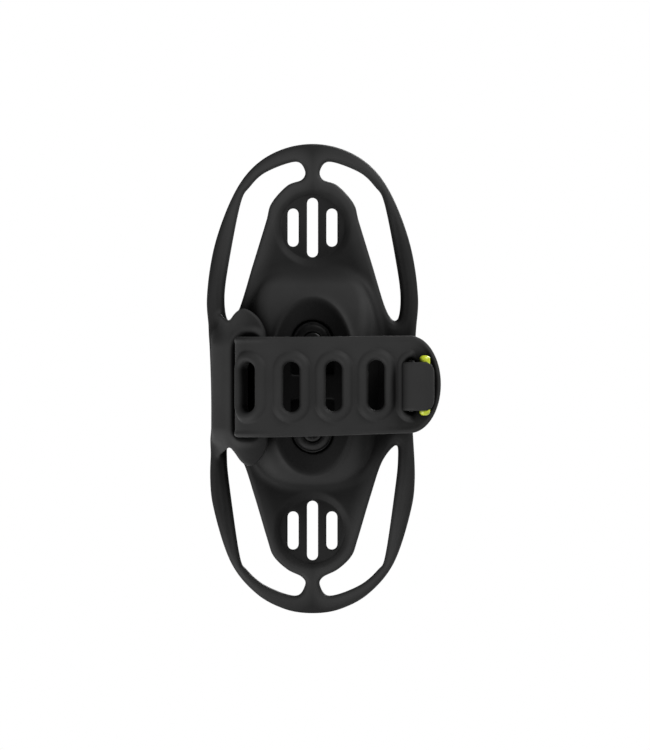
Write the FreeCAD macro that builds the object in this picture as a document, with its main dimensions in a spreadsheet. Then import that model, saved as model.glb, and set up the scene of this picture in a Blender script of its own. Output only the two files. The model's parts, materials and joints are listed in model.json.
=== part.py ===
"""Strap-on silicone phone mount for a bicycle handlebar.

Frame: the origin is the handlebar's centre at the middle of the saddle. The bar runs along Z, the phone
lies on the +Y side with its long side along Z, and the strap closes over the bar on the -Y side.
All lengths are millimetres and all angles degrees.
"""
import FreeCAD, Part
import math
import os
import Sketcher
from FreeCAD import Matrix, Placement, Rotation, Vector

SIZES = [
    # handlebar and saddle
    ("bar_radius", 16.0, "concave saddle wall, for a 31.8 mm bar"),
    ("dome_half_width", 23.0, "boss, half size along X"),
    ("dome_half_height", 31.0, "boss, half size along Z"),
    ("dome_rise", 17.0, "boss height over its centre plane"),
    ("dome_centre", 23.0, "Y of the boss centre plane"),
    # silicone harness
    ("half_width", 33.8, "widest half width of the outer ring"),
    ("upper_height", 77.8, "top of the ring above the bar centre"),
    ("lower_height", 72.4, "bottom of the ring below the bar centre"),
    ("plate_face", 22.0, "Y of the bar side of the back plate"),
    ("plate_thickness", 4.2, "silicone back plate"),
    ("flat_half", 30.0, "half length of the flat middle"),
    ("bow_radius", 212.0, "ends curve towards the phone"),
    ("upper_recess_z", 51.0, "centre of the upper round recess"),
    ("lower_recess_z", -45.9, "centre of the lower round recess"),
    ("recess_radius", 10.4, "round recess"),
    ("recess_depth", 1.3, "depth of the round recess"),
    ("vent_width", 3.5, "vent slot width"),
    ("vent_long", 19.0, "middle vent slot"),
    ("vent_short", 12.2, "side vent slots"),
    ("vent_pitch", 6.2, "distance between vent slots"),
    ("loop_gap", 0.15, "room between a loop's end and the harness"),
    ("loop_inside", 4.5, "how far a loop reaches inside its hinge line"),
    # strap wing
    ("wing_half_height", 25.0, "wing, half size along Z"),
    ("wing_thickness", 2.2, "wing wall"),
    ("wing_round", 9.0, "round corners at the wing's free edge"),
    ("wing_root_inset", 2.2, "wing's root inside the ring's widest point"),
    ("wing_shoulder_x", 28.2, "shoulder of the wing's outer face, -X"),
    ("wing_shoulder_y", 9.6, "shoulder of the wing's outer face, Y"),
    ("wing_edge_x", 14.4, "free edge of the wing's outer face, -X"),
    ("wing_edge_y", 7.4, "free edge of the wing's outer face, Y"),
    ("wing_drop", 5.0, "sloped corner at the wing's root, size along Z"),
    ("wing_run", 9.0, "sloped corner at the wing's root, size along X"),
    ("window_half_height", 16.6, "strap window in the wing, half size along Z"),
    ("window_near", 17.5, "window edge nearest the bar, -X"),
    ("window_far", 25.4, "window edge furthest from the bar, -X"),
    # fasteners in the saddle
    ("screw_z", 14.5, "screws above and below the bar centre"),
    ("washer_radius", 6.7, "wide flange washer"),
    ("washer_face", 16.5, "Y of the washer's bar side"),
    ("washer_thickness", 1.5, "wide flange washer"),
    ("washer_bevel", 0.5, "bevel round the washer's edge"),
    ("head_radius", 3.1, "countersunk screw head"),
    ("socket_flats", 2.5, "hexagon socket across flats"),
    ("socket_depth", 1.5, "hexagon socket"),
    ("shank_radius", 2.0, "M4 screw"),
    ("screw_length", 8.0, "from the head's face to its tip"),
    ("pocket_half_width", 7.6, "saddle pocket, half size along X"),
    ("web_half_height", 4.0, "web of rubber across the middle of the pocket, half size along Z"),
    ("bridge_thickness", 1.3, "clamping bridge plate"),
    ("bridge_room", 0.3, "room between the bridge plate and the pocket's wall"),
    ("bridge_round", 6.7, "round corners of the bridge plate"),
    ("anchor_thickness", 2.0, "soft strip under the bridge"),
    ("anchor_half_height", 14.0, "soft strip, half size along Z"),
    ("anchor_bend", 5.0, "bend of the soft strip's middle line"),
    ("hinge_room", 0.3, "room between a fixed and a moving soft piece"),
    ("core_thickness", 3.5, "hard core"),
    ("core_half_width", 17.0, "hard core, half size along X"),
    ("core_half_height", 26.0, "hard core, half size along Z"),
    ("insert_radius", 3.2, "brass insert"),
    # strap
    ("strap_thickness", 3.0, "strap without its rims"),
    ("strap_half_height", 15.8, "strap, half size along Z"),
    ("strap_inner", 16.3, "strap's inner face in front of the bar, -Y"),
    ("strap_left", 24.8, "strap's outer face beside the bar, -X"),
    ("strap_bend", 10.0, "bend of the strap's middle line"),
    ("strap_end", 41.1, "free end of the strap, X"),
    ("strap_hinge_y", 4.5, "Y at which the strap leaves the wing"),
    ("end_round", 12.0, "round corners of the strap's end"),
    ("hole_width", 5.1, "strap hole"),
    ("hole_height", 16.0, "strap hole"),
    ("hole_pitch", 13.6, "distance between strap holes"),
    ("hole_first", -6.8, "X of the first hole on the flat stretch"),
    ("bent_hole_angle", 42.0, "place of the hole on the bend"),
    ("rim_width", 3.2, "raised rim round a hole"),
    ("rim_rise", 0.8, "height of the rim"),
    ("rim_root", 0.5, "how far a rim reaches into the flat strap"),
    ("bent_rim_root", 2.0, "how far a rim reaches into the bent strap"),
    ("slot_left", 29.9, "end slot, left side X"),
    ("slot_right", 33.3, "end slot, right side X"),
    ("slot_height", 19.6, "end slot"),
    # hook
    ("hook_left", 30.3, "hook arm, left face X"),
    ("hook_thickness", 2.6, "hook arm and tongue"),
    ("hook_half_height", 7.8, "hook arm, half size along Z"),
    ("hook_bend", 8.0, "inner bend of the hook arm"),
    ("leg_half_height", 12.5, "broad leg of the hook arm, half size along Z"),
    ("leg_end", 12.0, "end of the broad leg, -Y"),
    ("tongue_end", 39.1, "free end of the tongue, X"),
    ("tongue_wall", 0.9, "wall of the tongue round the toggle bar"),
    ("toggle_radius", 1.75, "toggle bar"),
    ("toggle_length", 19.2, "toggle bar"),
    ("toggle_round", 1.2, "round ends of the toggle bar"),
    ("toggle_x", 35.9, "toggle bar"),
    ("toggle_drop", 0.9, "toggle bar's axis beyond the tongue's"),
]

# Outlines as fractions of the half width and of the height, from the top down the right-hand side.
RING_UPPER = [(0.0, 1.0), (0.31, 0.974), (0.57, 0.901), (0.763, 0.778), (0.929, 0.58), (1.0, 0.373),
              (0.978, 0.21)]
RING_LOWER = [(0.945, -0.1), (0.97, -0.4), (0.92, -0.57), (0.766, -0.782), (0.53, -0.914), (0.26, -0.982),
              (0.0, -1.0)]
UPPER_OPENING = [(0.163, 0.926), (0.441, 0.883), (0.592, 0.823), (0.68, 0.755), (0.787, 0.521),
                 (0.832, 0.37), (0.8, 0.276), (0.7, 0.315), (0.56, 0.51), (0.44, 0.68), (0.39, 0.755),
                 (0.24, 0.828), (0.1, 0.853), (0.072, 0.89)]
LOWER_OPENING = [(0.163, -0.922), (0.441, -0.877), (0.62, -0.807), (0.69, -0.741), (0.781, -0.449),
                 (0.808, -0.32), (0.79, -0.258), (0.66, -0.33), (0.55, -0.482), (0.43, -0.67),
                 (0.37, -0.747), (0.24, -0.806), (0.1, -0.84), (0.07, -0.875)]

# Ends of each corner loop's hinge line, in the same fractions.
UPPER_HINGE = (0.355, 0.933), (0.9, 0.321)
LOWER_HINGE = (0.325, -0.934), (0.885, -0.331)

REACH = 80.0  # longer than any cut has to be
TINY = 0.01  # smaller than any real length or difference
VOLUME_SLACK = 0.02  # share by which a checked volume may differ

doc = FreeCAD.newDocument("phone_mount")
sheet = doc.addObject("Spreadsheet::Sheet", "Sizes")
for row, (alias, value, meaning) in enumerate(SIZES, start=1):
    sheet.set(f"A{row}", meaning)
    sheet.set(f"B{row}", str(value))
    sheet.setAlias(f"B{row}", alias)
doc.recompute()

ALONG_Y = Rotation(Vector(1, 0, 0), -90)  # turns a primitive's Z axis to +Y


def size(alias):
    return float(getattr(sheet, alias))


# ---------------------------------------------------------------- helpers

def primitive(kind, name, sizes, place=(0, 0, 0), rotation=Rotation()):
    """A Part primitive whose sizes and place are expressions of the sheet."""
    item = doc.addObject(kind, name)
    item.Placement = Placement(Vector(), rotation)
    for prop, expression in sizes.items():
        item.setExpression(prop, expression)
    for letter, expression in zip("xyz", place):
        item.setExpression(f"Placement.Base.{letter}", str(expression))
    return item


def centred_box(name, width, depth, height, centre):
    """A box from its three sizes and its centre."""
    corner = [f"({place}) - ({length})/2" for place, length in zip(centre, (width, depth, height))]
    return primitive("Part::Box", name, {"Length": width, "Width": depth, "Height": height}, corner)


def y_cylinder(name, radius, length, place):
    """A cylinder along +Y that starts at place."""
    return primitive("Part::Cylinder", name, {"Radius": radius, "Height": length}, place, ALONG_Y)


def fuse(name, items):
    result = doc.addObject("Part::MultiFuse", name)
    result.Shapes = items
    return result


def cut(name, base, tool):
    result = doc.addObject("Part::Cut", name)
    result.Base = base
    result.Tool = tool
    return result


def obround(name, width, height, depth, centre):
    """An obround prism along Y, its long side along Z, about a centre."""
    x, y, z = centre
    straight = f"({height}) - ({width})"
    middle = centred_box(f"{name}_middle", width, depth, straight, centre)
    ends = [
        y_cylinder(f"{name}_end_{word}", f"({width})/2", depth,
                   (x, f"({y}) - ({depth})/2", f"({z}) {sign} ({straight})/2"))
        for word, sign in (("up", "+"), ("down", "-"))
    ]
    return fuse(name, [middle, *ends])


def new_body(label):
    body = doc.addObject("PartDesign::Body", label)
    body.Label = label
    return body


def origin_plane(body, role):
    return next(plane for plane in body.Origin.OriginFeatures if plane.Role == role)


def sketch_on(body, name, role="XZ_Plane"):
    """A sketch on one of the body's own origin planes."""
    sketch = body.newObject("Sketcher::SketchObject", name)
    sketch.AttachmentSupport = [(origin_plane(body, role), "")]
    sketch.MapMode = "FlatFace"
    return sketch


def add_circle(sketch, radius, height="0"):
    """A circle on the sketch's vertical axis, its radius and height bound to the sheet."""
    circle = sketch.addGeometry(Part.Circle(Vector(0, 1, 0), Vector(0, 0, 1), 1.0))
    number = sketch.addConstraint(Sketcher.Constraint("Radius", circle, 1.0))
    sketch.setExpression(f"Constraints[{number}]", radius)
    sketch.addConstraint(Sketcher.Constraint("PointOnObject", circle, 3, -2))
    number = sketch.addConstraint(Sketcher.Constraint("DistanceY", -1, 1, circle, 3, 1.0))
    sketch.setExpression(f"Constraints[{number}]", height)


def pad(body, sketch, name, length):
    feature = body.newObject("PartDesign::Pad", name)
    feature.Profile = sketch
    feature.setExpression("Length", length)
    feature.Reversed = True
    return feature


def shape_feature(label, shape):
    """A free-form moulding, made with Part's own functions from sizes read from the sheet."""
    item = doc.addObject("Part::Feature", label)
    item.Shape = shape
    item.Label = label
    return item


def label_part(item, label):
    item.Label = label
    return item


# ---------------------------------------------------------------- clamped plates in the saddle

def rectangle(sketch, left, right, bottom, top):
    """A rectangle whose four sides are bound to expressions."""
    corners = [Vector(-1, -1, 0), Vector(1, -1, 0), Vector(1, 1, 0), Vector(-1, 1, 0)]
    lines = [
        sketch.addGeometry(Part.LineSegment(corners[i], corners[(i + 1) % 4]))
        for i in range(4)
    ]
    for i in range(4):
        sketch.addConstraint(Sketcher.Constraint("Coincident", lines[i], 2, lines[(i + 1) % 4], 1))
        kind = "Horizontal" if i % 2 == 0 else "Vertical"
        sketch.addConstraint(Sketcher.Constraint(kind, lines[i]))
    for kind, line, point, expression in (("DistanceX", 0, 1, left), ("DistanceX", 0, 2, right),
                                          ("DistanceY", 0, 1, bottom), ("DistanceY", 2, 1, top)):
        number = sketch.addConstraint(Sketcher.Constraint(kind, -1, 1, lines[line], point, 1.0))
        sketch.setExpression(f"Constraints[{number}]", expression)


def clamped_plate(label, half_width, half_height, thickness, face, corner, hole_radius):
    """A flat plate across the screws, with rounded corners and a hole for each screw."""
    body = new_body(label)
    outline = sketch_on(body, f"{label}_outline")
    rectangle(outline, f"-({half_width})", half_width, f"-({half_height})", half_height)
    plate = pad(body, outline, f"{label}_pad", thickness)
    doc.recompute()
    upright = [
        f"Edge{i}" for i, edge in enumerate(plate.Shape.Edges, start=1)
        if abs(edge.tangentAt(edge.FirstParameter).y) > 1 - TINY
    ]
    rounded = body.newObject("PartDesign::Fillet", f"{label}_corners")
    rounded.Base = (plate, upright)
    rounded.setExpression("Radius", corner)
    doc.recompute()
    full = rounded.Shape.Volume
    circle = sketch_on(body, f"{label}_hole_outline")
    add_circle(circle, hole_radius, "Sizes.screw_z")
    hole = body.newObject("PartDesign::Pocket", f"{label}_hole")
    hole.Profile = circle
    hole.Type = "ThroughAll"
    hole.Midplane = True
    both = body.newObject("PartDesign::Mirrored", f"{label}_holes")
    both.Originals = [hole]
    both.MirrorPlane = (origin_plane(body, "XY_Plane"), [""])
    body.Tip = both
    doc.recompute()
    removed = full - body.Shape.Volume
    expected = 2 * math.pi * circle.Geometry[0].Radius ** 2 * float(plate.Length)
    assert abs(removed - expected) < VOLUME_SLACK * expected, (label, removed, expected)
    body.setExpression("Placement.Base.y", face)
    return body


BRIDGE_HALF_WIDTH = "(Sizes.pocket_half_width - Sizes.bridge_room)"
BRIDGE_FACE = "(Sizes.washer_face + Sizes.washer_thickness)"
ANCHOR_FACE = f"({BRIDGE_FACE} + Sizes.bridge_thickness)"
CORE_FACE = f"({ANCHOR_FACE} + Sizes.anchor_thickness)"

clamped_plate("bridge_plate", BRIDGE_HALF_WIDTH, f"Sizes.screw_z + {BRIDGE_HALF_WIDTH}",
              "Sizes.bridge_thickness", BRIDGE_FACE, "Sizes.bridge_round", "Sizes.shank_radius")
clamped_plate("saddle_core", "Sizes.core_half_width", "Sizes.core_half_height", "Sizes.core_thickness",
              CORE_FACE, "Sizes.core_half_width / 2", "Sizes.insert_radius")


# ---------------------------------------------------------------- screws, washers and inserts

def fastener(word, sign):
    """One screw with its flange washer and its brass insert, above or below the bar centre."""
    centre_z = f"{sign}Sizes.screw_z"
    rim = primitive(
        "Part::Cone", f"washer_rim_{word}",
        {"Radius1": "Sizes.washer_radius - Sizes.washer_bevel", "Radius2": "Sizes.washer_radius",
         "Height": "Sizes.washer_bevel"},
        (0, "Sizes.washer_face", centre_z), ALONG_Y)
    disc = y_cylinder(f"washer_disc_{word}", "Sizes.washer_radius",
                      "Sizes.washer_thickness - Sizes.washer_bevel",
                      (0, "Sizes.washer_face + Sizes.washer_bevel", centre_z))
    seat = primitive(
        "Part::Cone", f"washer_seat_{word}",
        {"Radius1": "Sizes.head_radius", "Radius2": "Sizes.shank_radius", "Height": "Sizes.washer_thickness"},
        (0, "Sizes.washer_face", centre_z), ALONG_Y)
    washer = cut(f"flange_washer_{word}", fuse(f"washer_{word}_blank", [rim, disc]), seat)
    label_part(washer, f"flange_washer_{word}")

    head = primitive(
        "Part::Cone", f"screw_head_{word}",
        {"Radius1": "Sizes.head_radius", "Radius2": "Sizes.shank_radius", "Height": "Sizes.washer_thickness"},
        (0, "Sizes.washer_face", centre_z), ALONG_Y)
    shank = y_cylinder(f"screw_shank_{word}", "Sizes.shank_radius",
                       "Sizes.screw_length - Sizes.washer_thickness",
                       (0, "Sizes.washer_face + Sizes.washer_thickness", centre_z))
    socket = primitive(
        "Part::Prism", f"screw_socket_{word}",
        {"Circumradius": "Sizes.socket_flats / 2 / cos(30)", "Height": "Sizes.socket_depth"},
        (0, "Sizes.washer_face", centre_z), ALONG_Y)
    socket.Polygon = 6
    screw = cut(f"clamp_screw_{word}", fuse(f"screw_{word}_blank", [head, shank]), socket)
    label_part(screw, f"clamp_screw_{word}")

    sleeve = y_cylinder(f"insert_sleeve_{word}", "Sizes.insert_radius", "Sizes.core_thickness",
                        (0, CORE_FACE, centre_z))
    thread = y_cylinder(f"insert_thread_{word}", "Sizes.shank_radius", "Sizes.core_thickness",
                        (0, CORE_FACE, centre_z))
    label_part(cut(f"threaded_insert_{word}", sleeve, thread), f"threaded_insert_{word}")


for word, sign in (("upper", ""), ("lower", "-")):
    fastener(word, sign)


# ---------------------------------------------------------------- bent strips: anchor, strap, hook arm

def bent_strip(label, run_x, run_y, turn_x, turn_y, bend, thickness, half_height):
    """A strip that runs along X, bends once and ends along Y, upright about the XY plane.

    run_x, run_y is the free end of the X run's middle line and turn_x, turn_y that of the Y run.
    """
    body = new_body(label)
    spine = sketch_on(body, f"{label}_spine", "XY_Plane")
    values = [float(sheet_value(expression)) for expression in (run_x, run_y, turn_x, turn_y, bend)]
    x0, y0, x1, y1, radius = values
    side_x = 1 if x0 > x1 else -1
    side_y = 1 if y1 > y0 else -1
    centre = Vector(x1 + side_x * radius, y0 + side_y * radius, 0)
    run_end = Vector(centre.x, y0, 0)
    turn_start = Vector(x1, centre.y, 0)
    run = spine.addGeometry(Part.LineSegment(Vector(x0, y0, 0), run_end))
    to_run = math.atan2(run_end.y - centre.y, run_end.x - centre.x)
    to_turn = math.atan2(turn_start.y - centre.y, turn_start.x - centre.x)
    run_is_start = math.sin(to_turn - to_run) > 0
    first, last = (to_run, to_turn) if run_is_start else (to_turn, to_run)
    arc = spine.addGeometry(Part.ArcOfCircle(Part.Circle(centre, Vector(0, 0, 1), radius), first, last))
    turn = spine.addGeometry(Part.LineSegment(turn_start, Vector(x1, y1, 0)))
    near_run = 1 if run_is_start else 2
    spine.addConstraint(Sketcher.Constraint("Tangent", run, 2, arc, near_run))
    spine.addConstraint(Sketcher.Constraint("Tangent", turn, 1, arc, 3 - near_run))
    spine.addConstraint(Sketcher.Constraint("Horizontal", run))
    spine.addConstraint(Sketcher.Constraint("Vertical", turn))
    for kind, item, point, value, expression in (
            ("DistanceX", run, 1, x0, run_x), ("DistanceY", run, 1, y0, run_y),
            ("DistanceX", turn, 2, x1, turn_x), ("DistanceY", turn, 2, y1, turn_y)):
        number = spine.addConstraint(Sketcher.Constraint(kind, -1, 1, item, point, value))
        spine.setExpression(f"Constraints[{number}]", expression)
    number = spine.addConstraint(Sketcher.Constraint("Radius", arc, radius))
    spine.setExpression(f"Constraints[{number}]", bend)
    section = sketch_on(body, f"{label}_section")
    rectangle(section, f"({turn_x}) - ({thickness})/2", f"({turn_x}) + ({thickness})/2",
              f"-({half_height})", half_height)
    section.setExpression("AttachmentOffset.Base.z", f"-({turn_y})")
    pipe = body.newObject("PartDesign::AdditivePipe", f"{label}_pipe")
    pipe.Profile = section
    pipe.Spine = spine
    doc.recompute()
    length = sum(edge.Length for edge in spine.Shape.Edges)
    expected = length * section.Shape.BoundBox.XLength * section.Shape.BoundBox.ZLength
    assert abs(pipe.Shape.Volume - expected) < VOLUME_SLACK * expected, (label, pipe.Shape.Volume, expected)
    return body


def sheet_value(expression):
    """The number that an expression of the sheet gives."""
    return sheet.evalExpression(expression.replace("Sizes.", ""))


STRAP_Y = "-(Sizes.strap_inner + Sizes.strap_thickness / 2)"
STRAP_X = "-(Sizes.strap_left - Sizes.strap_thickness / 2)"
STRAP_FACE = "-(Sizes.strap_inner + Sizes.strap_thickness)"
ANCHOR_Y = f"{ANCHOR_FACE} + Sizes.anchor_thickness / 2"
HOOK_X = "Sizes.hook_left + Sizes.hook_thickness / 2"
HOOK_Y = f"{CORE_FACE} - Sizes.hook_thickness / 2"
TONGUE_Y = f"{STRAP_FACE} - Sizes.hinge_room - Sizes.hook_thickness / 2"

anchor_band = bent_strip("anchor_band", "Sizes.pocket_half_width", ANCHOR_Y, STRAP_X,
                         "Sizes.strap_hinge_y + Sizes.strap_thickness / 2 + Sizes.hinge_room",
                         "Sizes.anchor_bend", "Sizes.anchor_thickness", "Sizes.anchor_half_height")
anchor_holes = [
    y_cylinder(f"anchor_hole_{word}", "Sizes.shank_radius", "Sizes.anchor_thickness",
               (0, ANCHOR_FACE, f"{sign}Sizes.screw_z"))
    for word, sign in (("upper", ""), ("lower", "-"))
]
label_part(cut("anchor_strip", anchor_band, fuse("anchor_holes", anchor_holes)), "anchor_strip")
strap_band = bent_strip("strap_band", "Sizes.strap_end", STRAP_Y, STRAP_X, "Sizes.strap_hinge_y",
                        "Sizes.strap_bend", "Sizes.strap_thickness", "Sizes.strap_half_height")
hook_strip = bent_strip("hook_strip", "Sizes.pocket_half_width", HOOK_Y, HOOK_X,
                        f"{TONGUE_Y} + Sizes.hook_thickness / 2 + Sizes.hinge_room",
                        "Sizes.hook_bend + Sizes.hook_thickness / 2", "Sizes.hook_thickness",
                        "Sizes.hook_half_height")
hook_leg = bent_strip("hook_leg", "Sizes.pocket_half_width", HOOK_Y, HOOK_X, "-Sizes.leg_end",
                      "Sizes.hook_bend + Sizes.hook_thickness / 2", "Sizes.hook_thickness",
                      "Sizes.leg_half_height")
hook_arm = label_part(fuse("hook_arm", [hook_strip, hook_leg]), "hook_arm")
doc.recompute()


# ---------------------------------------------------------------- strap

def flat_hole(name, grow, depth, middle_y, centre_x):
    """A strap-hole prism on the flat stretch, grown by an amount all round."""
    return obround(name, f"Sizes.hole_width + 2 * {grow}", f"Sizes.hole_height + 2 * {grow}", depth,
                   (centre_x, middle_y, "0"))


def bent_hole(name, grow, depth, middle_radius):
    """The same prism, turned to stand square to the strap's bend."""
    prism = flat_hole(name, grow, depth, "0", "0")
    angle = "Sizes.bent_hole_angle"
    centre_x = f"{STRAP_X} + Sizes.strap_bend"
    centre_y = f"{STRAP_Y} + Sizes.strap_bend"
    prism.Placement = Placement(Vector(), Rotation(Vector(0, 0, 1), 1))
    prism.setExpression("Placement.Rotation.Angle", f"{angle} - 90")
    prism.setExpression("Placement.Base.x", f"{centre_x} - ({middle_radius}) * cos({angle})")
    prism.setExpression("Placement.Base.y", f"{centre_y} - ({middle_radius}) * sin({angle})")
    return prism


HOLE_CENTRES = [f"Sizes.hole_first + {i} * Sizes.hole_pitch" for i in range(3)]
RIM_Y = f"{STRAP_FACE} + (Sizes.rim_root - Sizes.rim_rise) / 2"
RIM_DEPTH = "Sizes.rim_rise + Sizes.rim_root"
BENT_RIM_RADIUS = "Sizes.strap_bend + (Sizes.strap_thickness + Sizes.rim_rise - Sizes.bent_rim_root) / 2"
BENT_RIM_DEPTH = "Sizes.rim_rise + Sizes.bent_rim_root"
THROUGH = "3 * Sizes.strap_thickness"

rims = [
    flat_hole(f"rim_{i}", "Sizes.rim_width", RIM_DEPTH, RIM_Y, centre)
    for i, centre in enumerate(HOLE_CENTRES, start=2)
]
rims.append(bent_hole("rim_1", "Sizes.rim_width", BENT_RIM_DEPTH, BENT_RIM_RADIUS))
holes = [
    flat_hole(f"hole_{i}", "0", THROUGH, STRAP_Y, centre)
    for i, centre in enumerate(HOLE_CENTRES, start=2)
]
holes.append(bent_hole("hole_1", "0", THROUGH, "Sizes.strap_bend"))
holes.append(centred_box("end_slot", "Sizes.slot_right - Sizes.slot_left", THROUGH, "Sizes.slot_height",
                         ("(Sizes.slot_left + Sizes.slot_right) / 2", STRAP_Y, "0")))

strap_root = primitive("Part::Cylinder", "strap_root",
                       {"Radius": "Sizes.strap_thickness / 2", "Height": "2 * Sizes.strap_half_height"},
                       (STRAP_X, "Sizes.strap_hinge_y", "-Sizes.strap_half_height"))
end_edges = [
    f"Edge{i}" for i, edge in enumerate(strap_band.Shape.Edges, start=1)
    if abs(edge.BoundBox.XMin - size("strap_end")) < TINY and edge.BoundBox.ZLength < TINY
]
strap_pipe = strap_band.Tip
end_corners = strap_band.newObject("PartDesign::Fillet", "strap_end_corners")
end_corners.Base = (strap_pipe, end_edges)
end_corners.setExpression("Radius", "Sizes.end_round")
strap_band.Tip = end_corners
strap_blank = fuse("strap_blank", [strap_band, strap_root, *rims])
label_part(cut("strap", strap_blank, fuse("strap_openings", holes)), "strap")


# ---------------------------------------------------------------- hook tongue and toggle bar

tongue_y = f"({TONGUE_Y})"
toggle_y = f"({TONGUE_Y} - Sizes.toggle_drop)"
tongue_half = "Sizes.hook_half_height"
tongue_root = primitive("Part::Cylinder", "tongue_root",
                        {"Radius": "Sizes.hook_thickness / 2", "Height": f"2 * {tongue_half}"},
                        (HOOK_X, TONGUE_Y, f"-{tongue_half}"))
tongue_flat = primitive("Part::Box", "tongue_flat",
                        {"Length": f"Sizes.tongue_end - ({HOOK_X})", "Width": "Sizes.hook_thickness",
                         "Height": f"2 * {tongue_half}"},
                        (HOOK_X, f"{tongue_y} - Sizes.hook_thickness / 2", f"-{tongue_half}"))
tongue_bulge = primitive("Part::Cylinder", "tongue_bulge",
                         {"Radius": "Sizes.toggle_radius + Sizes.tongue_wall",
                          "Height": f"2 * {tongue_half}"},
                         ("Sizes.toggle_x", toggle_y, f"-{tongue_half}"))
below_tongue = primitive("Part::Box", "below_tongue",
                         {"Length": "Sizes.tongue_end - Sizes.hook_left", "Width": "Sizes.hook_thickness",
                          "Height": f"2 * {tongue_half}"},
                         ("Sizes.hook_left", f"{tongue_y} + Sizes.hook_thickness / 2", f"-{tongue_half}"))
toggle_bore = primitive("Part::Cylinder", "toggle_bore",
                        {"Radius": "Sizes.toggle_radius", "Height": f"2 * {tongue_half}"},
                        ("Sizes.toggle_x", toggle_y, f"-{tongue_half}"))
tongue_blank = fuse("tongue_blank", [tongue_root, tongue_flat, tongue_bulge])
tongue_cutters = fuse("tongue_cutters", [below_tongue, toggle_bore])
label_part(cut("hook_tongue", tongue_blank, tongue_cutters), "hook_tongue")

toggle = primitive("Part::Cylinder", "toggle_bar_blank",
                   {"Radius": "Sizes.toggle_radius", "Height": "Sizes.toggle_length"},
                   ("Sizes.toggle_x", toggle_y, "-Sizes.toggle_length / 2"))
doc.recompute()
toggle_bar = doc.addObject("Part::Fillet", "toggle_bar")
toggle_bar.Base = toggle
toggle_bar.Edges = [
    (i, size("toggle_round"), size("toggle_round")) for i, edge in enumerate(toggle.Shape.Edges, start=1)
    if edge.BoundBox.ZLength < TINY
]
label_part(toggle_bar, "toggle_bar")
doc.recompute()


# ---------------------------------------------------------------- harness moulding

def outline_points(fractions, mirror=1):
    """Points of an outline, from fractions of the half width and of the upper or lower height."""
    return [
        Vector(mirror * fx * size("half_width"), 0,
               fz * (size("upper_height") if fz > 0 else size("lower_height")))
        for fx, fz in fractions
    ]


def spline_prism(points):
    """The closed smooth outline through the points, as a prism along Y."""
    curve = Part.BSplineCurve()
    curve.interpolate(Points=points, PeriodicFlag=True)
    face = Part.Face(Part.Wire(curve.toShape()))
    face.translate(Vector(0, -REACH / 2, 0))
    return face.extrude(Vector(0, 2 * REACH, 0))


def bowed_slab():
    """The plate's thickness in the YZ plane: flat in the middle, ends curving towards +Y."""
    near, far = size("plate_face"), size("plate_face") + size("plate_thickness")
    flat, radius = size("flat_half"), size("bow_radius")
    centre_y = (near + far) / 2 + radius
    turn = math.asin((REACH - flat) / radius)

    def on_arc(level, angle, side):
        arc_radius = centre_y - level
        return Vector(0, centre_y - arc_radius * math.cos(angle),
                      side * (flat + arc_radius * math.sin(angle)))

    edges = []
    for level in (near, far):
        edges.append(Part.LineSegment(Vector(0, level, -flat), Vector(0, level, flat)).toShape())
        for side in (1, -1):
            points = [on_arc(level, angle, side) for angle in (0, turn / 2, turn)]
            edges.append(Part.Arc(*points).toShape())
    for side in (1, -1):
        edges.append(Part.LineSegment(on_arc(near, turn, side), on_arc(far, turn, side)).toShape())
    face = Part.Face(Part.Wire(Part.__sortEdges__(edges)))
    face.translate(Vector(-REACH, 0, 0))
    return face.extrude(Vector(2 * REACH, 0, 0))


def plate_middle_y(height):
    """Y of the plate's middle surface at a height."""
    radius = size("bow_radius")
    beyond = max(0.0, abs(height) - size("flat_half"))
    middle = size("plate_face") + size("plate_thickness") / 2
    return middle + radius - math.sqrt(radius ** 2 - beyond ** 2)


def hinge_ends(fractions, mirror):
    """The two ends of a corner loop's hinge line, on the plate's middle surface."""
    ends = outline_points(fractions, mirror)
    return [Vector(end.x, plate_middle_y(end.z), end.z) for end in ends]


def loop_block(fractions, mirror, gap):
    """A block that holds one corner loop: its ends are square to the loop's hinge line."""
    start, end = hinge_ends(fractions, mirror)
    along = (end - start).normalize()
    outward = Vector(along.z, 0, -along.x)
    outward.multiply(math.copysign(1, outward.x * mirror)).normalize()
    turn = Rotation(along, outward, along.cross(outward), "XYZ")
    block = Part.makeBox((end - start).Length + 2 * gap, REACH, REACH)
    corner = Vector(-gap, -size("loop_inside"), -REACH / 2)
    block.Placement = Placement(start + turn.multVec(corner), turn)
    return block


def biggest(shape):
    return max(shape.Solids, key=lambda solid: solid.Volume)


def saddle_dome():
    """The boss that carries the saddle: a half ellipsoid that stands out towards the bar."""
    ball = Part.makeSphere(1.0)
    stretch = Matrix()
    stretch.scale(size("dome_half_width"), size("dome_rise"), size("dome_half_height"))
    dome = ball.transformGeometry(stretch)
    dome.translate(Vector(0, size("dome_centre"), 0))
    keep = Part.makeBox(REACH, REACH, REACH, Vector(-REACH / 2, size("plate_face") - REACH, -REACH / 2))
    return dome.common(keep)


def y_obround(width, height, centre):
    """An obround prism along Y as a shape, its long side along Z."""
    prism = Part.makeBox(width, REACH, height - width,
                         Vector(centre.x - width / 2, centre.y, centre.z - (height - width) / 2))
    for side in (1, -1):
        end = Vector(centre.x, centre.y, centre.z + side * (height - width) / 2)
        prism = prism.fuse(Part.makeCylinder(width / 2, REACH, end, Vector(0, 1, 0)))
    return prism


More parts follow.
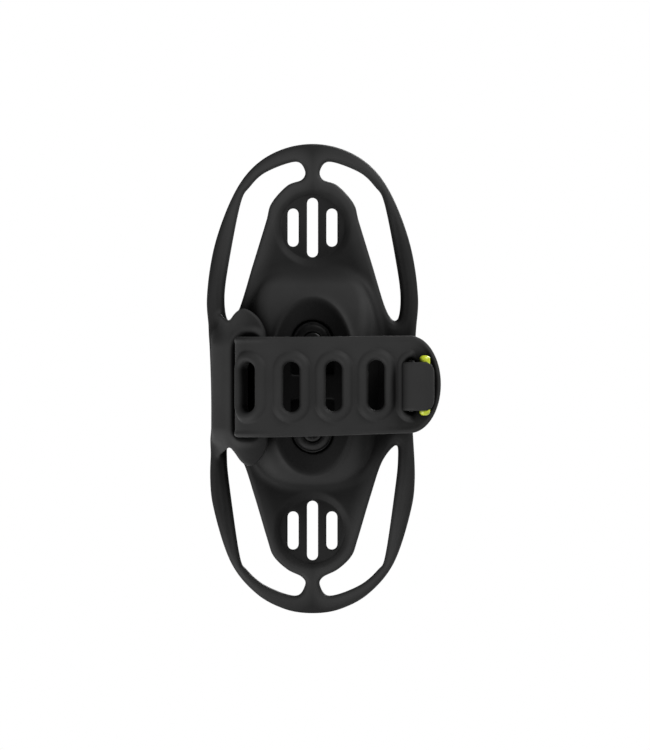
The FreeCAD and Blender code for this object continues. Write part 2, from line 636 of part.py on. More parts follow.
def recess_cutters(height):
    """A round recess in the bar side of the plate, with its three vent slots through it."""
    face_y = plate_middle_y(height) - size("plate_thickness") / 2
    start = Vector(0, face_y - size("plate_thickness"), height)
    depth = size("plate_thickness") + size("recess_depth")
    cutters = [Part.makeCylinder(size("recess_radius"), depth, start, Vector(0, 1, 0))]
    for step, length in ((-1, "vent_short"), (0, "vent_long"), (1, "vent_short")):
        centre = start + Vector(step * size("vent_pitch"), 0, 0)
        cutters.append(y_obround(size("vent_width"), size(length), centre))
    return cutters


def part_shape(label):
    return doc.getObjectsByLabel(label)[0].Shape


def harness_plate():
    """The whole bowed plate inside the outer ring's line, with its four openings."""
    right = outline_points(RING_UPPER + RING_LOWER)
    left = outline_points((RING_UPPER + RING_LOWER)[-2:0:-1], -1)
    whole = bowed_slab().common(spline_prism(right + left))
    for fractions in (UPPER_OPENING, LOWER_OPENING):
        for mirror in (1, -1):
            whole = whole.cut(spline_prism(outline_points(fractions, mirror)))
    return whole


def saddle_pocket():
    """Room for the bridge plate and the screws, with a web of rubber left across its middle."""
    half_width, half_height = size("pocket_half_width"), size("screw_z") + size("pocket_half_width")
    pocket = y_obround(2 * half_width, 2 * half_height, Vector(0, 0, 0))
    depth = Part.makeBox(REACH, sheet_value(CORE_FACE), REACH, Vector(-REACH / 2, 0, -REACH / 2))
    web = Part.makeBox(REACH, sheet_value(BRIDGE_FACE), 2 * size("web_half_height"),
                       Vector(-REACH / 2, 0, -size("web_half_height")))
    return pocket.common(depth).cut(web)


def core_room():
    """Room for the hard core inside the boss and the plate."""
    half_width, half_height = size("core_half_width"), size("core_half_height")
    room = Part.makeBox(2 * half_width, size("core_thickness"), 2 * half_height,
                        Vector(-half_width, sheet_value(CORE_FACE), -half_height))
    upright = [edge for edge in room.Edges if edge.BoundBox.YLength > TINY]
    return room.makeFillet(half_width / 2, upright)


plate = harness_plate()
loop_room = []
for level, fractions in (("upper", UPPER_HINGE), ("lower", LOWER_HINGE)):
    for hand, mirror in (("right", 1), ("left", -1)):
        shape_feature(f"corner_loop_{level}_{hand}", biggest(plate.common(loop_block(fractions, mirror, 0))))
        loop_room.append(biggest(plate.common(loop_block(fractions, mirror, size("loop_gap")))))

recesses = recess_cutters(size("upper_recess_z")) + recess_cutters(size("lower_recess_z"))
shape_feature("harness_back", biggest(plate.cut([core_room(), *loop_room, *recesses])))
bar = Part.makeCylinder(size("bar_radius"), 4 * REACH, Vector(0, 0, -2 * REACH))
boss = biggest(saddle_dome().cut([bar, saddle_pocket(), core_room(), anchor_band.Shape, hook_arm.Shape]))
shape_feature("saddle_boss", boss)


# ---------------------------------------------------------------- strap wing

def wing_band():
    """The flap's curved wall, as high as the whole wing."""
    low = Vector(size("wing_root_inset") - size("half_width"), size("plate_face") + size("wing_thickness"), 0)
    high = Vector(-size("wing_edge_x"), size("wing_edge_y"), 0)
    shoulder = Vector(-size("wing_shoulder_x"), size("wing_shoulder_y"), 0)
    outer = Part.Arc(low, shoulder, high).toShape()
    centre, radius = outer.Curve.Center, outer.Curve.Radius

    def inward(point):
        return centre + (point - centre).normalize() * (radius - size("wing_thickness"))

    inner = Part.Arc(inward(high), inward(shoulder), inward(low)).toShape()
    edges = [outer, Part.LineSegment(high, inward(high)).toShape(), inner,
             Part.LineSegment(inward(low), low).toShape()]
    band = Part.Face(Part.Wire(edges))
    band.translate(Vector(0, 0, -size("wing_half_height")))
    return band.extrude(Vector(0, 0, 2 * size("wing_half_height")))


def wing_outline():
    """The wing seen along Y: round corners at the free edge, sloped corners at the root."""
    half_height, left, right = size("wing_half_height"), -size("half_width"), -size("wing_edge_x")
    block = Part.makeBox(right - left, REACH, 2 * half_height, Vector(left, -REACH / 2, -half_height))
    free_edges = [edge for edge in block.Edges
                  if edge.BoundBox.YLength > TINY and edge.BoundBox.XMin > left + TINY]
    block = block.makeFillet(size("wing_round"), free_edges)
    below = Vector(left, -REACH / 2, half_height - size("wing_drop"))
    beside = Vector(left + size("wing_run"), -REACH / 2, half_height)
    slope = Part.makePolygon([below, beside, Vector(left, -REACH / 2, half_height), below])
    corner = Part.Face(slope).extrude(Vector(0, REACH, 0))
    return block.cut([corner, corner.mirror(Vector(), Vector(0, 0, 1))])


def strap_wing():
    """A flap that stands up from the harness's left side, with a window for the strap."""
    window = Part.makeBox(size("window_far") - size("window_near"), REACH, 2 * size("window_half_height"),
                          Vector(-size("window_far"), -REACH / 2, -size("window_half_height")))
    behind_face = Part.makeBox(2 * REACH, REACH, 2 * REACH, Vector(-REACH, size("plate_face"), -REACH))
    whole = wing_band().common(wing_outline()).cut(window)
    return biggest(whole.cut([behind_face, boss, anchor_band.Shape]))


shape_feature("strap_wing", strap_wing())
doc.recompute()


# ---------------------------------------------------------------- checks and files

NODES = [
    "harness_back", "saddle_boss", "corner_loop_upper_right", "corner_loop_upper_left",
    "corner_loop_lower_right", "corner_loop_lower_left", "strap_wing", "saddle_core", "threaded_insert_upper",
    "threaded_insert_lower", "bridge_plate", "flange_washer_upper", "flange_washer_lower",
    "clamp_screw_upper", "clamp_screw_lower", "anchor_strip", "strap", "hook_arm", "hook_tongue",
    "toggle_bar",
]
for item in doc.Objects:
    assert not {"Invalid", "Error"} & set(item.State), (item.Name, item.State)
os.makedirs("parts", exist_ok=True)
for label in NODES:
    shape = part_shape(label)
    assert not shape.isNull() and shape.isValid(), label
    print(f"{label:26s} solids {len(shape.Solids)} volume {shape.Volume:9.1f}", shape.BoundBox)
    shape.exportStep(f"parts/{label}.step")
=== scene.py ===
import json
import math

import bmesh
import bpy
import numpy as np
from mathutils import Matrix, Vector


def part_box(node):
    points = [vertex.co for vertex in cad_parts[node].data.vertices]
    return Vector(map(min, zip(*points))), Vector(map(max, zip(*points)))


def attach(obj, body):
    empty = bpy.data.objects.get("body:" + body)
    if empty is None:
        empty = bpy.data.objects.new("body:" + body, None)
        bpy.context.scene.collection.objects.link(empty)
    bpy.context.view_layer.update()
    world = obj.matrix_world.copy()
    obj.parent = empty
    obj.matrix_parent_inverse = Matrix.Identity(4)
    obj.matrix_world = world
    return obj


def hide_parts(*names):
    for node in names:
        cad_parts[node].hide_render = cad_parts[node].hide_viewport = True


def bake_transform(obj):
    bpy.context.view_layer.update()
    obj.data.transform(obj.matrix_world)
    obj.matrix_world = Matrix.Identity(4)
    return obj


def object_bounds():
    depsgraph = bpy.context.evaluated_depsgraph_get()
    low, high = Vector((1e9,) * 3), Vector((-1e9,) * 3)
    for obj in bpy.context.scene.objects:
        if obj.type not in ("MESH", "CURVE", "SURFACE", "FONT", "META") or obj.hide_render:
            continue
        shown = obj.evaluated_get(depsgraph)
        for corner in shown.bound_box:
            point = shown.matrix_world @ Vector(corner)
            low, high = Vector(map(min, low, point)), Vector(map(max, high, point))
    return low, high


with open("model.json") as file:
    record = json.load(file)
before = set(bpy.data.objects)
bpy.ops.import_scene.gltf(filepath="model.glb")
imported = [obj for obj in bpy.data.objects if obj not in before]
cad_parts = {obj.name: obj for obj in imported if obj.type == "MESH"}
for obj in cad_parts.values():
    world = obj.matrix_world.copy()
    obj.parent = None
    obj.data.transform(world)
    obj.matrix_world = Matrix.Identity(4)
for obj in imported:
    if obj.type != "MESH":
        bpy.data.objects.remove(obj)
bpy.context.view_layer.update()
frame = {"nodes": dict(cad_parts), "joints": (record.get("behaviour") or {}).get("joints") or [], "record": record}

# A strap-on phone mount: a rubber harness with four corner loops and a saddle, a strap with holes that
# wraps the handlebar, and a hook with a toggle bar that the strap's end hangs on.
# X points right, Y from the handlebar towards the phone, Z along the bar. The origin is the bar's centre.
#
# Shapes are written as signed distances in millimetres (negative inside) and meshed by surface nets.

MM = 0.001


# ---- sizes, in millimetres

def node_box(name):
    """Lowest and highest corner of a CAD node in millimetres."""
    low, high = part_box(name)
    return np.array(low) / MM, np.array(high) / MM


def named(rows, name):
    """The joint or mount with a name."""
    return next(row for row in rows if row["name"] == name)


HARNESS_LOW, HARNESS_HIGH = node_box("harness_back")
STRAP_LOW, STRAP_HIGH = node_box("strap")
ANCHOR_HIGH = node_box("anchor_strip")[1]
HOOK_LOW, HOOK_HIGH = node_box("hook_arm")
TONGUE_LOW, TONGUE_HIGH = node_box("hook_tongue")
TOGGLE_LOW, TOGGLE_HIGH = node_box("toggle_bar")
BRIDGE_LOW = node_box("bridge_plate")[0]
CORE_LOW, CORE_HIGH = node_box("saddle_core")
WING_LOW, WING_HIGH = node_box("strap_wing")
WASHER_LOW, WASHER_HIGH = node_box("flange_washer_upper")

MOUNTS = frame["record"]["mounts"]
HARNESS_CELL = 0.4
GRID_HALF_WIDTH = 35.2  # a little more than the harness's
GRID_MARGIN = 2.0  # empty room around the harness in Y and Z
STRIP_CELL = 0.3
SETTLE_TURNS = 3  # how often the meshed points move towards the surface
SETTLE_SHARE = 0.7  # how much of the way they go each time

BAR_RADIUS = named(MOUNTS, "handlebar_clamp")["dims"]["r_mm"]
HALF_WIDTH = HARNESS_HIGH[0]
TOP, BOTTOM = HARNESS_HIGH[2], HARNESS_LOW[2]
PLATE_FACE = HARNESS_LOW[1]
PLATE_THICKNESS = named(MOUNTS, "phone_seat")["pos_m"][1] / MM - PLATE_FACE
PLATE_FLAT = 30.0  # half height of the plate's flat middle
PLATE_BOW = 212.0  # radius of the plate's bowed ends
PLATE_EDGE = 1.5  # rounding of the plate's edges
RING_EDGE = 0.5  # how much rounder the ring's edges are
OPENING_FILLET = 0.8
RING_SPAN = (7, 10)  # the plate's width from one edge to the other, in the ring and past it
LEDGE_DEPTH = 0.35  # a low step along the openings, on the harness's sides
LEDGE_WIDTH = (1.6, 3.0)
LEDGE_X = (23, 27)
LEDGE_Z = (50, 62)

RECESS_RADIUS = 10.4
RECESS_DEPTH = 1.3
RECESS_HEIGHTS = (51.0, -45.9)
RECESS_FILLET = 0.35
DISH_DEPTH = 1.1  # hollow round each recess
DISH_SPAN = (RECESS_RADIUS - 0.4, RECESS_RADIUS + 2.3)
VENT_WIDTH = 3.5
VENT_LENGTHS = (12.2, 19.0, 12.2)
VENT_PITCH = 6.2

MOUND_HALF_SIZE = (21.8, 17.6, 34.5)
MOUND_MIDDLE = (0.0, 1.0, 3.0)  # its centre, from the bar's axis and from the plate's face
MOUND_SQUARENESS = 3.2  # 2 for an ellipse, more for a squarer outline
MOUND_FILLET = 3.0
MOUND_ROOT = 2.0  # how far the boss goes into the plate
CROWN_RISE = 13.0  # how far the crown stands out of the plate at mid height
CROWN_REACH = 36.8  # half height at which the crown meets the plate
CROWN_FILLET = 2.0
SADDLE_FILLET = 0.6
SADDLE_LIP = 0.6
SADDLE_LIP_WIDTH = 1.3

SCREW_Z = 14.5
WASHER_RADIUS = WASHER_HIGH[0]
WASHER_FACE = WASHER_LOW[1]
WASHER_THICKNESS = WASHER_HIGH[1] - WASHER_LOW[1]
HEAD_RADIUS = node_box("clamp_screw_upper")[1][0]
POCKET_RADIUS = WASHER_RADIUS + 0.15
POCKET_FILLET = 0.4
WEB_HALF_HEIGHT = 4.0  # the rubber across the pocket, behind the bridge plate
WEB_FILLET = 0.8

STRAP_THICKNESS = 3.0
STRAP_HALF_HEIGHT = 15.8
STRAP_BEND = 10.0
STRAP_HINGE = np.array(named(frame["joints"], "strap_swing")["pos_m"]) / MM
STRAP_LIFT = 0.9  # how much higher the free end is than the root
STRAP_EDGE = 0.9  # rounding of the strap's edges
STRAP_SWELL = 0.3  # how much further the strap's edges go than its half height
NECK = (-5.0, -1.0, 3.0)  # where the anchor strip widens to the strap, from the hinge
NECK_THICKENS = (-2.0, 2.0)
STRIP_START = 0.3  # where the strips start on their paths
STRIP_SPARE = 0.05  # room around them in the harness
TAB_HALF_HEIGHT = STRAP_HALF_HEIGHT - 0.2
TAB_LENGTH = 9.9
HEM_RISE = 0.25  # a thin raised hem along the strap's edge
HEM_PLACE = 1.0
HEM_WIDTH = 0.7
HOLE_SIZE = (5.1, 16.0)
HOLE_PLACES = (-6.8, 6.8, 20.4)
BENT_HOLE_ANGLE = math.radians(42)
HOLE_FILLET = 0.3
SCREW_HOLE = HEAD_RADIUS - 0.8  # radius of the anchor strip's holes for the screws
RIM_RISE = 1.1
RIM_WIDTH = 3.6
RIM_ROOT = 0.4  # how far inside a hole's edge its rim starts
SLOT_CENTRE = 31.6
SLOT_HALF = (1.4, 8.3)
SLOT_DROP = 0.5
SLOT_RIM_END = (-0.5, 1.6)  # where the slot's rim fades, from the slot's middle

HOOK_THICKNESS = 2.6
HOOK_HINGE = np.array(named(frame["joints"], "hook_release")["pos_m"]) / MM
HOOK_EDGE = 0.6
TOGGLE_CENTRE = (TOGGLE_LOW + TOGGLE_HIGH) / 2
TOGGLE_RADIUS = (TOGGLE_HIGH[0] - TOGGLE_LOW[0]) / 2
TOGGLE_LENGTH = TOGGLE_HIGH[2] - TOGGLE_LOW[2]
TOGGLE_ROUND = 1.3  # rounding of the toggle's ends
TOGGLE_RAISE = 0.5
TONGUE_RISE = HOOK_HINGE[1] - TONGUE_LOW[1]
TONGUE_HALF = 5.0  # half length of the arch over the toggle
TONGUE_SHIFT = 0.2  # how much higher the tongue is than the arm
TONGUE_TIP = 3.0  # length over which the tongue's tip thins
TIP_FALL = 1.1  # how much the outer face falls at the tip
TIP_LEAN = 0.25  # how much the inner face comes nearer the strap there
LEG_END = 12.0  # where the arm narrows, from the bar's axis
LEG_TAPER = [(-6.0, 0.0), (-2.5, -0.8)]  # from there: along the arm, and out from its edge
TONGUE_TAPER = [(-0.5, 1.2), (1.5, 0.0)]  # and out from the tongue's edge
TIP_CORNER = [(-2.4, 0.0), (-1.0, -0.8), (-0.2, -2.4), (0.0, -4.4)]

# Outlines as fractions of the half width and of the upper or lower height, down the right-hand side.
RING_UPPER = [(0.0, 1.0), (0.31, 0.974), (0.57, 0.901), (0.763, 0.778), (0.929, 0.58), (1.0, 0.373),
              (0.978, 0.21)]
RING_LOWER = [(0.945, -0.1), (0.97, -0.4), (0.92, -0.57), (0.766, -0.782), (0.53, -0.914), (0.26, -0.982),
              (0.0, -1.0)]
UPPER_OPENING = [(0.163, 0.926), (0.441, 0.883), (0.592, 0.823), (0.68, 0.755), (0.787, 0.521),
                 (0.832, 0.37), (0.8, 0.276), (0.7, 0.315), (0.56, 0.51), (0.44, 0.68), (0.39, 0.755),
                 (0.24, 0.828), (0.1, 0.853), (0.072, 0.89)]
LOWER_OPENING = [(0.163, -0.922), (0.441, -0.877), (0.62, -0.807), (0.69, -0.741), (0.781, -0.449),
                 (0.808, -0.32), (0.79, -0.258), (0.66, -0.33), (0.55, -0.482), (0.43, -0.67),
                 (0.37, -0.747), (0.24, -0.806), (0.1, -0.84), (0.07, -0.875)]
UPPER_HINGE = (0.355, 0.933), (0.9, 0.321)
LOWER_HINGE = (0.325, -0.934), (0.885, -0.331)
LOOP_INSIDE = 4.5  # how far a corner loop reaches inside its hinge line
LOOP_CUT_REACH = 9.0  # how far from its hinge line's end a loop's cut can be

# The strap wing: its lobes and window as X and Z.
UPPER_LOBE = [(-32.6, 10.0), (-32.6, 17.0), (-32.0, 22.0), (-29.6, 23.2), (-27.6, 21.6), (-26.4, 21.6),
              (-25.1, 23.3), (-23.5, 24.7), (-21.8, 25.1), (-19.8, 24.3), (-17.4, 22.3), (-15.7, 19.7),
              (-14.7, 16.2), (-14.4, 8.0)]
LOWER_LOBE = [(-14.3, -8.0), (-14.3, -16.4), (-14.9, -20.0), (-16.6, -22.9), (-19.0, -25.0),
              (-21.0, -25.1), (-23.0, -23.7), (-25.1, -20.8), (-26.6, -19.4), (-28.0, -20.4),
              (-30.0, -21.8), (-31.9, -21.0), (-32.6, -17.0), (-32.6, -10.0)]
WINDOW_CENTRE = -21.06
WINDOW_HALF = (3.56, 16.0)
WINDOW_CORNER = 2.5
WINDOW_BEAD = 0.8  # rise of the bead around the window
BEAD_PLACE = 1.7
BEAD_WIDTH = 1.1
WING_WALL = 2.2
WING_FILLET = 2.2
WING_ROOT = 1.0  # how far the wing goes into the plate
WING_EDGE = 0.8
WING_FOOT = (-HALF_WIDTH + 2.2, PLATE_FACE + WING_WALL)  # X and Y of three points of the wing's arc
WING_SHOULDER = (-28.2, 9.6)
WING_TIP = (WING_HIGH[0], 7.4)
FOOT_SINK = 9.0  # how far the wing sinks to the plate beside the window
FOOT_SINK_X = (-31, -26)
FOOT_SINK_Z = (13, 22)
LOBE_SINK = 1.6  # how far the lobes lean back at their tops
LOBE_SINK_Z = (14, 26)

# Turned profiles of the fasteners: how far in from the rim, and how far behind the face.
WASHER_RIM = [(1.5, 0.0), (1.35, 0.12), (0.9, 0.12), (0.7, 0.0), (0.45, 0.0), (0.1, 0.2), (0.0, 0.5)]
HEAD_RIM = [(0.45, 0.2), (0.1, 0.4), (0.0, 0.7)]
HEAD_BASE = WASHER_THICKNESS + 0.3  # where the head's underside meets the shank
WASHER_BEVEL = 0.2
SEAT_GAP = 0.25  # room around the screw's head
SEAT_BEVEL = (0.35, 0.1)
SEAT_DEPTH = 0.9
SHANK_RADIUS = 2.0
SHANK_ROOM = 0.2
SOCKET_RADIUS = 1.25
SOCKET_SPAN = (0.35, 1.5)
SOCKET_MOUTH = (1.5, 0.2)
THREAD_START = 2.2
THREAD_PITCH = 0.7
THREAD_TOOTH = [(0.05, 0.0), (0.3, 0.25), (0.3, 0.35)]
THREADS = 8
SHANK_POINT = 0.4
SHANK_END = 7.9

# Painted light and shade on the rubber's colour: 0 is darkest, in the pockets, and 1 is brightest, on the ring,
# the edges and what stands out.
BARE_PAINTED_LEVEL = 0.3
STRIP_PAINTED_LEVEL = 0.69
RAISED_PAINTED_LEVEL = 0.85
RAISED_HEIGHT = (0.5, 3.0)
OPENING_FADE = (1.0, 6.0)
SADDLE_FADE = (0.1, 0.8)
SADDLE_MIDDLE = (9, 18)

VIEW_HEIGHT = 240.0
VIEW_CENTRE = (4.0, -600.0, 3.84)
LIGHTS = (("key", (1.25, -0.9, 1.5), 1.3, 56),
          ("fill", (-1.35, -0.9, -1.35), 1.5, 53),
          ("back", (0.9, 1.9, 1.2), 1.2, 60))


# ---- signed distances

def smooth_min(first, second, blend):
    """The lesser of two distances, with a fillet about as wide as the blend."""
    share = np.clip(0.5 + 0.5 * (second - first) / blend, 0, 1)
    return second * (1 - share) + first * share - blend * share * (1 - share)


def smooth_max(first, second, blend):
    """The greater of two distances, with a fillet about as wide as the blend."""
    return -smooth_min(-first, -second, blend)


def smooth_step(low, high, value):
    """0 up to low, 1 from high on, and an easy slope between."""
    share = np.clip((value - low) / (high - low), 0, 1)
    return share * share * (3 - 2 * share)


def bump(value, width):
    """1 at 0, falling to nothing over about twice the width."""
    return np.exp(-(value / width) ** 2)


def rounded_prism(flat, depth, radius):
    """Distance to a prism with rounded edges, from the distances to its outline and to its faces."""
    along, across = flat + radius, depth + radius
    outside = np.hypot(np.maximum(along, 0), np.maximum(across, 0))
    return outside + np.minimum(np.maximum(along, across), 0) - radius


def rectangle(x, z, half_width, half_height, corner):
    """Distance to a rectangle with round corners around the origin."""
    return rounded_prism(np.abs(x) - half_width, np.abs(z) - half_height, corner)


def closed_curve(points, steps=10):
    """A smooth closed curve through the points, as many short straight pieces."""
    knots = np.array(points, float)
    before, after, beyond = np.roll(knots, 1, 0), np.roll(knots, -1, 0), np.roll(knots, -2, 0)
    rows = []
    for share in np.arange(steps) / steps:
        rows.append(0.5 * (2 * knots + (after - before) * share
                           + (2 * before - 5 * knots + 4 * after - beyond) * share ** 2
                           + (3 * knots - before - 3 * after + beyond) * share ** 3))
    return np.stack(rows, 1).reshape(-1, 2)


def curve_distance(points, x, z):
    """Signed distance in the XZ plane to a closed line through the points."""
    nearest = np.full(np.broadcast(x, z).shape, 1e9)
    inside = np.zeros(nearest.shape, bool)
    for (ax, az), (bx, bz) in zip(points, np.roll(points, -1, 0)):
        dx, dz = bx - ax, bz - az
        share = np.clip(((x - ax) * dx + (z - az) * dz) / (dx * dx + dz * dz + 1e-12), 0, 1)
        nearest = np.minimum(nearest, (x - ax - share * dx) ** 2 + (z - az - share * dz) ** 2)
        if dz:
            inside ^= ((az > z) != (bz > z)) & (x < ax + (z - az) * dx / dz)
    return np.where(inside, -1, 1) * np.sqrt(nearest)


def outline(fractions, mirror=1):
    """Points of an outline in millimetres, from fractions of the half width and of the height."""
    return [(mirror * fx * HALF_WIDTH, fz * (TOP if fz > 0 else -BOTTOM)) for fx, fz in fractions]


def plate_middle(z):
    """Y of the plate's middle surface at a height."""
    beyond = np.maximum(0, np.abs(z) - PLATE_FLAT)
    return PLATE_FACE + PLATE_THICKNESS / 2 + PLATE_BOW - np.sqrt(PLATE_BOW ** 2 - beyond ** 2)


# ---- meshing

class Grid:
    """Points at the corners of cubic cells between two corners."""

    def __init__(self, low, high, cell):
        self.low, self.cell = np.array(low, float), cell
        self.counts = np.ceil((np.array(high) - self.low) / cell).astype(int) + 1
        axes = [self.low[i] + cell * np.arange(self.counts[i]) for i in range(3)]
        self.x, self.y, self.z = np.meshgrid(*axes, indexing="ij", sparse=True)

    def sample(self, values, points):
        """The values between the grid's points, at other points."""
        place = np.clip((points - self.low) / self.cell, 0, self.counts - 1.001)
        base = place.astype(int)
        share = place - base
        total = 0
        for corner in np.ndindex(2, 2, 2):
            weight = np.prod(np.where(corner, share, 1 - share), axis=1)
            at = tuple((base + corner).T)
            total = total + weight.reshape(-1, *[1] * (values.ndim - 3)) * values[at]
        return total


def edge_ends(values, axis):
    """Values at the start and at the end of every grid edge along an axis."""
    count = values.shape[axis]
    return values.take(range(count - 1), axis), values.take(range(1, count), axis)


def cell_points(grid, field):
    """A number for each cell that the surface passes, -1 elsewhere, and the middle of its crossings."""
    cells = tuple(grid.counts - 1)
    crossings, sums = np.zeros(cells, np.float32), np.zeros((*cells, 3), np.float32)
    for axis in range(3):
        start, end = edge_ends(field, axis)
        crossed = (start < 0) != (end < 0)
        share = np.where(crossed, start / np.where(crossed, start - end, 1), 0)
        others = [i for i in range(3) if i != axis]
        for step in np.ndindex(2, 2):
            part, offset = [slice(None)] * 3, np.zeros(3, np.float32)
            for other, shift in zip(others, step):
                part[other] = slice(shift, shift + cells[other])
                offset[other] = shift
            hit = crossed[tuple(part)]
            crossings += hit
            sums += hit[..., None] * offset
            sums[..., axis] += np.where(hit, share[tuple(part)], 0)
    active = crossings > 0
    number = np.full(cells, -1)
    number[active] = np.arange(active.sum())
    middle = np.argwhere(active) + sums[active] / crossings[active][:, None]
    return number, grid.low + grid.cell * middle


def cell_faces(inside, number):
    """A face for each grid edge that the surface crosses, through the points of the four cells around it."""
    faces = []
    for axis in range(3):
        one, two = (axis + 1) % 3, (axis + 2) % 3
        start, end = edge_ends(inside, axis)
        inner = [slice(1, -1)] * 3
        inner[axis] = slice(None)
        crossed = np.argwhere((start != end)[tuple(inner)])
        crossed[:, (one, two)] += 1
        corners = []
        for back_one, back_two in ((1, 1), (0, 1), (0, 0), (1, 0)):
            cell = crossed.copy()
            cell[:, one] -= back_one
            cell[:, two] -= back_two
            corners.append(number[tuple(cell.T)])
        quads = np.stack(corners, 1)
        turned = ~inside[tuple(crossed.T)]
        quads[turned] = quads[turned][:, ::-1]
        faces.append(quads)
    return np.concatenate(faces)


def settle(grid, field, points):
    """The points moved on to the surface, and the surface's normals there."""
    slope = np.stack(np.gradient(field, grid.cell), -1).astype(np.float32)
    for _ in range(SETTLE_TURNS):
        normal = grid.sample(slope, points)
        square = np.maximum((normal ** 2).sum(1), 0.05)
        points = points - normal * (grid.sample(field, points) / square)[:, None] * SETTLE_SHARE
    normal = grid.sample(slope, points)
    normal /= np.maximum(np.linalg.norm(normal, axis=1), 1e-6)[:, None]
    return points, normal


def surface_net(grid, field):
    """Points, four-sided faces and normals of the surface where the field is 0."""
    field = np.broadcast_to(field, grid.counts).astype(np.float32)
    number, points = cell_points(grid, field)
    points, normals = settle(grid, field, points)
    return points, cell_faces(field < 0, number), normals


def shade(mesh, normals=None, flat_faces=()):
    """Smooth shading. Normals are one per point, except that flat faces keep their own."""
    mesh.polygons.foreach_set("use_smooth", np.ones(len(mesh.polygons), bool))
    if normals is None:
        return
    corner = np.zeros(len(mesh.loops), np.int32)
    mesh.loops.foreach_get("vertex_index", corner)
    rows = normals[corner]
    for index in flat_faces:
        face = mesh.polygons[index]
        rows[list(face.loop_indices)] = face.normal
    mesh.normals_split_custom_set(rows.tolist())


def add_object(name, data):
    """A new object in the scene."""
    item = bpy.data.objects.new(name, data)
    bpy.context.scene.collection.objects.link(item)
    return item


def new_piece(name, points, faces):
    """An object in the scene, from points in millimetres and faces."""
    mesh = bpy.data.meshes.new(name)
    mesh.from_pydata((np.asarray(points) * MM).tolist(), [], [list(map(int, face)) for face in faces])
    mesh.update()
    return add_object(name, mesh)


def set_painted_shade(mesh, values):
    """Painted light and shade on the rubber at each point, from 0, darkest in the pocket, to 1, brightest."""
    layer = mesh.attributes.new("painted_shade", "FLOAT", "POINT")
    layer.data.foreach_set("value", np.broadcast_to(values, len(mesh.vertices)).astype(np.float32))


def finish_piece(piece, material, slot, nodes):
    """Material, slot and the CAD nodes that the piece stands for."""
    # Strips get one even level of painted light, brighter than the bare plate.
    if slot == "silicone" and "painted_shade" not in piece.data.attributes:
        set_painted_shade(piece.data, STRIP_PAINTED_LEVEL)
    piece.data.materials.append(material)
    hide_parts(*nodes)


class Path:
    """The middle line of a strip in the XY plane, made of straight runs and bends."""

    def __init__(self, start, heading, runs):
        """Runs are (length, 0) for a straight one or (radius, turn) for a bend, left turns positive."""
        self.runs, self.length = [], 0.0
        point = np.array(start, float)
        for size, turn in runs:
            length = abs(size * turn) if turn else size
            curve = math.copysign(1 / size, turn) if turn else 0.0
            self.runs.append((self.length, length, point, heading, curve))
            x, y, heading = self.follow(point, heading, curve, length)
            point = np.array([x, y])
            self.length += length

    @staticmethod
    def follow(point, heading, curve, along):
        """Place and heading after a distance along a run."""
        if not curve:
            return point[0] + along * math.cos(heading), point[1] + along * math.sin(heading), heading
        ahead = heading + curve * along
        return (point[0] + (np.sin(ahead) - math.sin(heading)) / curve,
                point[1] - (np.cos(ahead) - math.cos(heading)) / curve, ahead)

    def place(self, along, left):
        """X, Y and heading of points at a distance along the line and to its left."""
        x, y, heading = (np.zeros(along.shape) for _ in range(3))
        for number, (start, length, point, first, curve) in enumerate(self.runs):
            last = number == len(self.runs) - 1
            here = (along >= start if number else along > -np.inf) & ((along < start + length) | last)
            step = along[here] - start
            run_x, run_y, run_heading = self.follow(point, first, curve, step)
            x[here], y[here], heading[here] = run_x, run_y, run_heading
        return x - left * np.sin(heading), y + left * np.cos(heading), heading

    def distance(self, x, y):
        """How far points in the XY plane are from the line."""
        nearest = np.full(np.broadcast(x, y).shape, 1e9)
        for _, length, point, heading, curve in self.runs:
            if curve:
                centre = point + np.array([-math.sin(heading), math.cos(heading)]) / curve
                turn = np.arctan2((y - centre[1]) * np.sign(curve), (x - centre[0]) * np.sign(curve))
                step = (turn - (heading - math.pi / 2) + math.pi) % (2 * math.pi) - math.pi
                step = np.clip(step / curve, 0, length)
            else:
                step = (x - point[0]) * math.cos(heading) + (y - point[1]) * math.sin(heading)
                step = np.clip(step, 0, length)
            run_x, run_y, _ = self.follow(point, heading, curve, step)
            nearest = np.minimum(nearest, np.hypot(x - run_x, y - run_y))
        return nearest


def bend_piece(name, path, low, high, distance):
    """A strip meshed flat, from a distance of (along, left, z), then bent along a path."""
    grid = Grid(low, high, STRIP_CELL)
    points, faces, normals = surface_net(grid, distance(grid.x, grid.y, grid.z))
    x, y, heading = path.place(points[:, 0], points[:, 1])
    turned = np.stack([normals[:, 0] * np.cos(heading) - normals[:, 1] * np.sin(heading),
                       normals[:, 0] * np.sin(heading) + normals[:, 1] * np.cos(heading),
                       normals[:, 2]], 1)
    piece = new_piece(name, np.stack([x, y, points[:, 2]], 1), faces)
    shade(piece.data, turned)
    return piece


# ---- paths of the strips

STRAP_STEP = 0.98  # how far the rims stand out of the strap's face
STRAP_MIDDLE_Y = STRAP_LOW[1] + STRAP_STEP + STRAP_THICKNESS / 2
ANCHOR_HALF = 1.0
ANCHOR_MIDDLE_Y = ANCHOR_HIGH[1] - ANCHOR_HALF
ANCHOR_BEND = 5.0
STRAP_X = STRAP_HINGE[0]
strap_path = Path((ANCHOR_HIGH[0], ANCHOR_MIDDLE_Y), math.pi, [
    (ANCHOR_HIGH[0] - STRAP_X - ANCHOR_BEND, 0),
    (ANCHOR_BEND, math.pi / 2),
    (ANCHOR_MIDDLE_Y - ANCHOR_BEND - STRAP_MIDDLE_Y - STRAP_BEND, 0),
    (STRAP_BEND, math.pi / 2),
    (STRAP_HIGH[0] - STRAP_X - STRAP_BEND, 0)])
HOOK_X = HOOK_HINGE[0]
HOOK_MIDDLE_Y = HOOK_HIGH[1] - HOOK_THICKNESS / 2
HOOK_BEND = 9.3
FOLD = 1.7
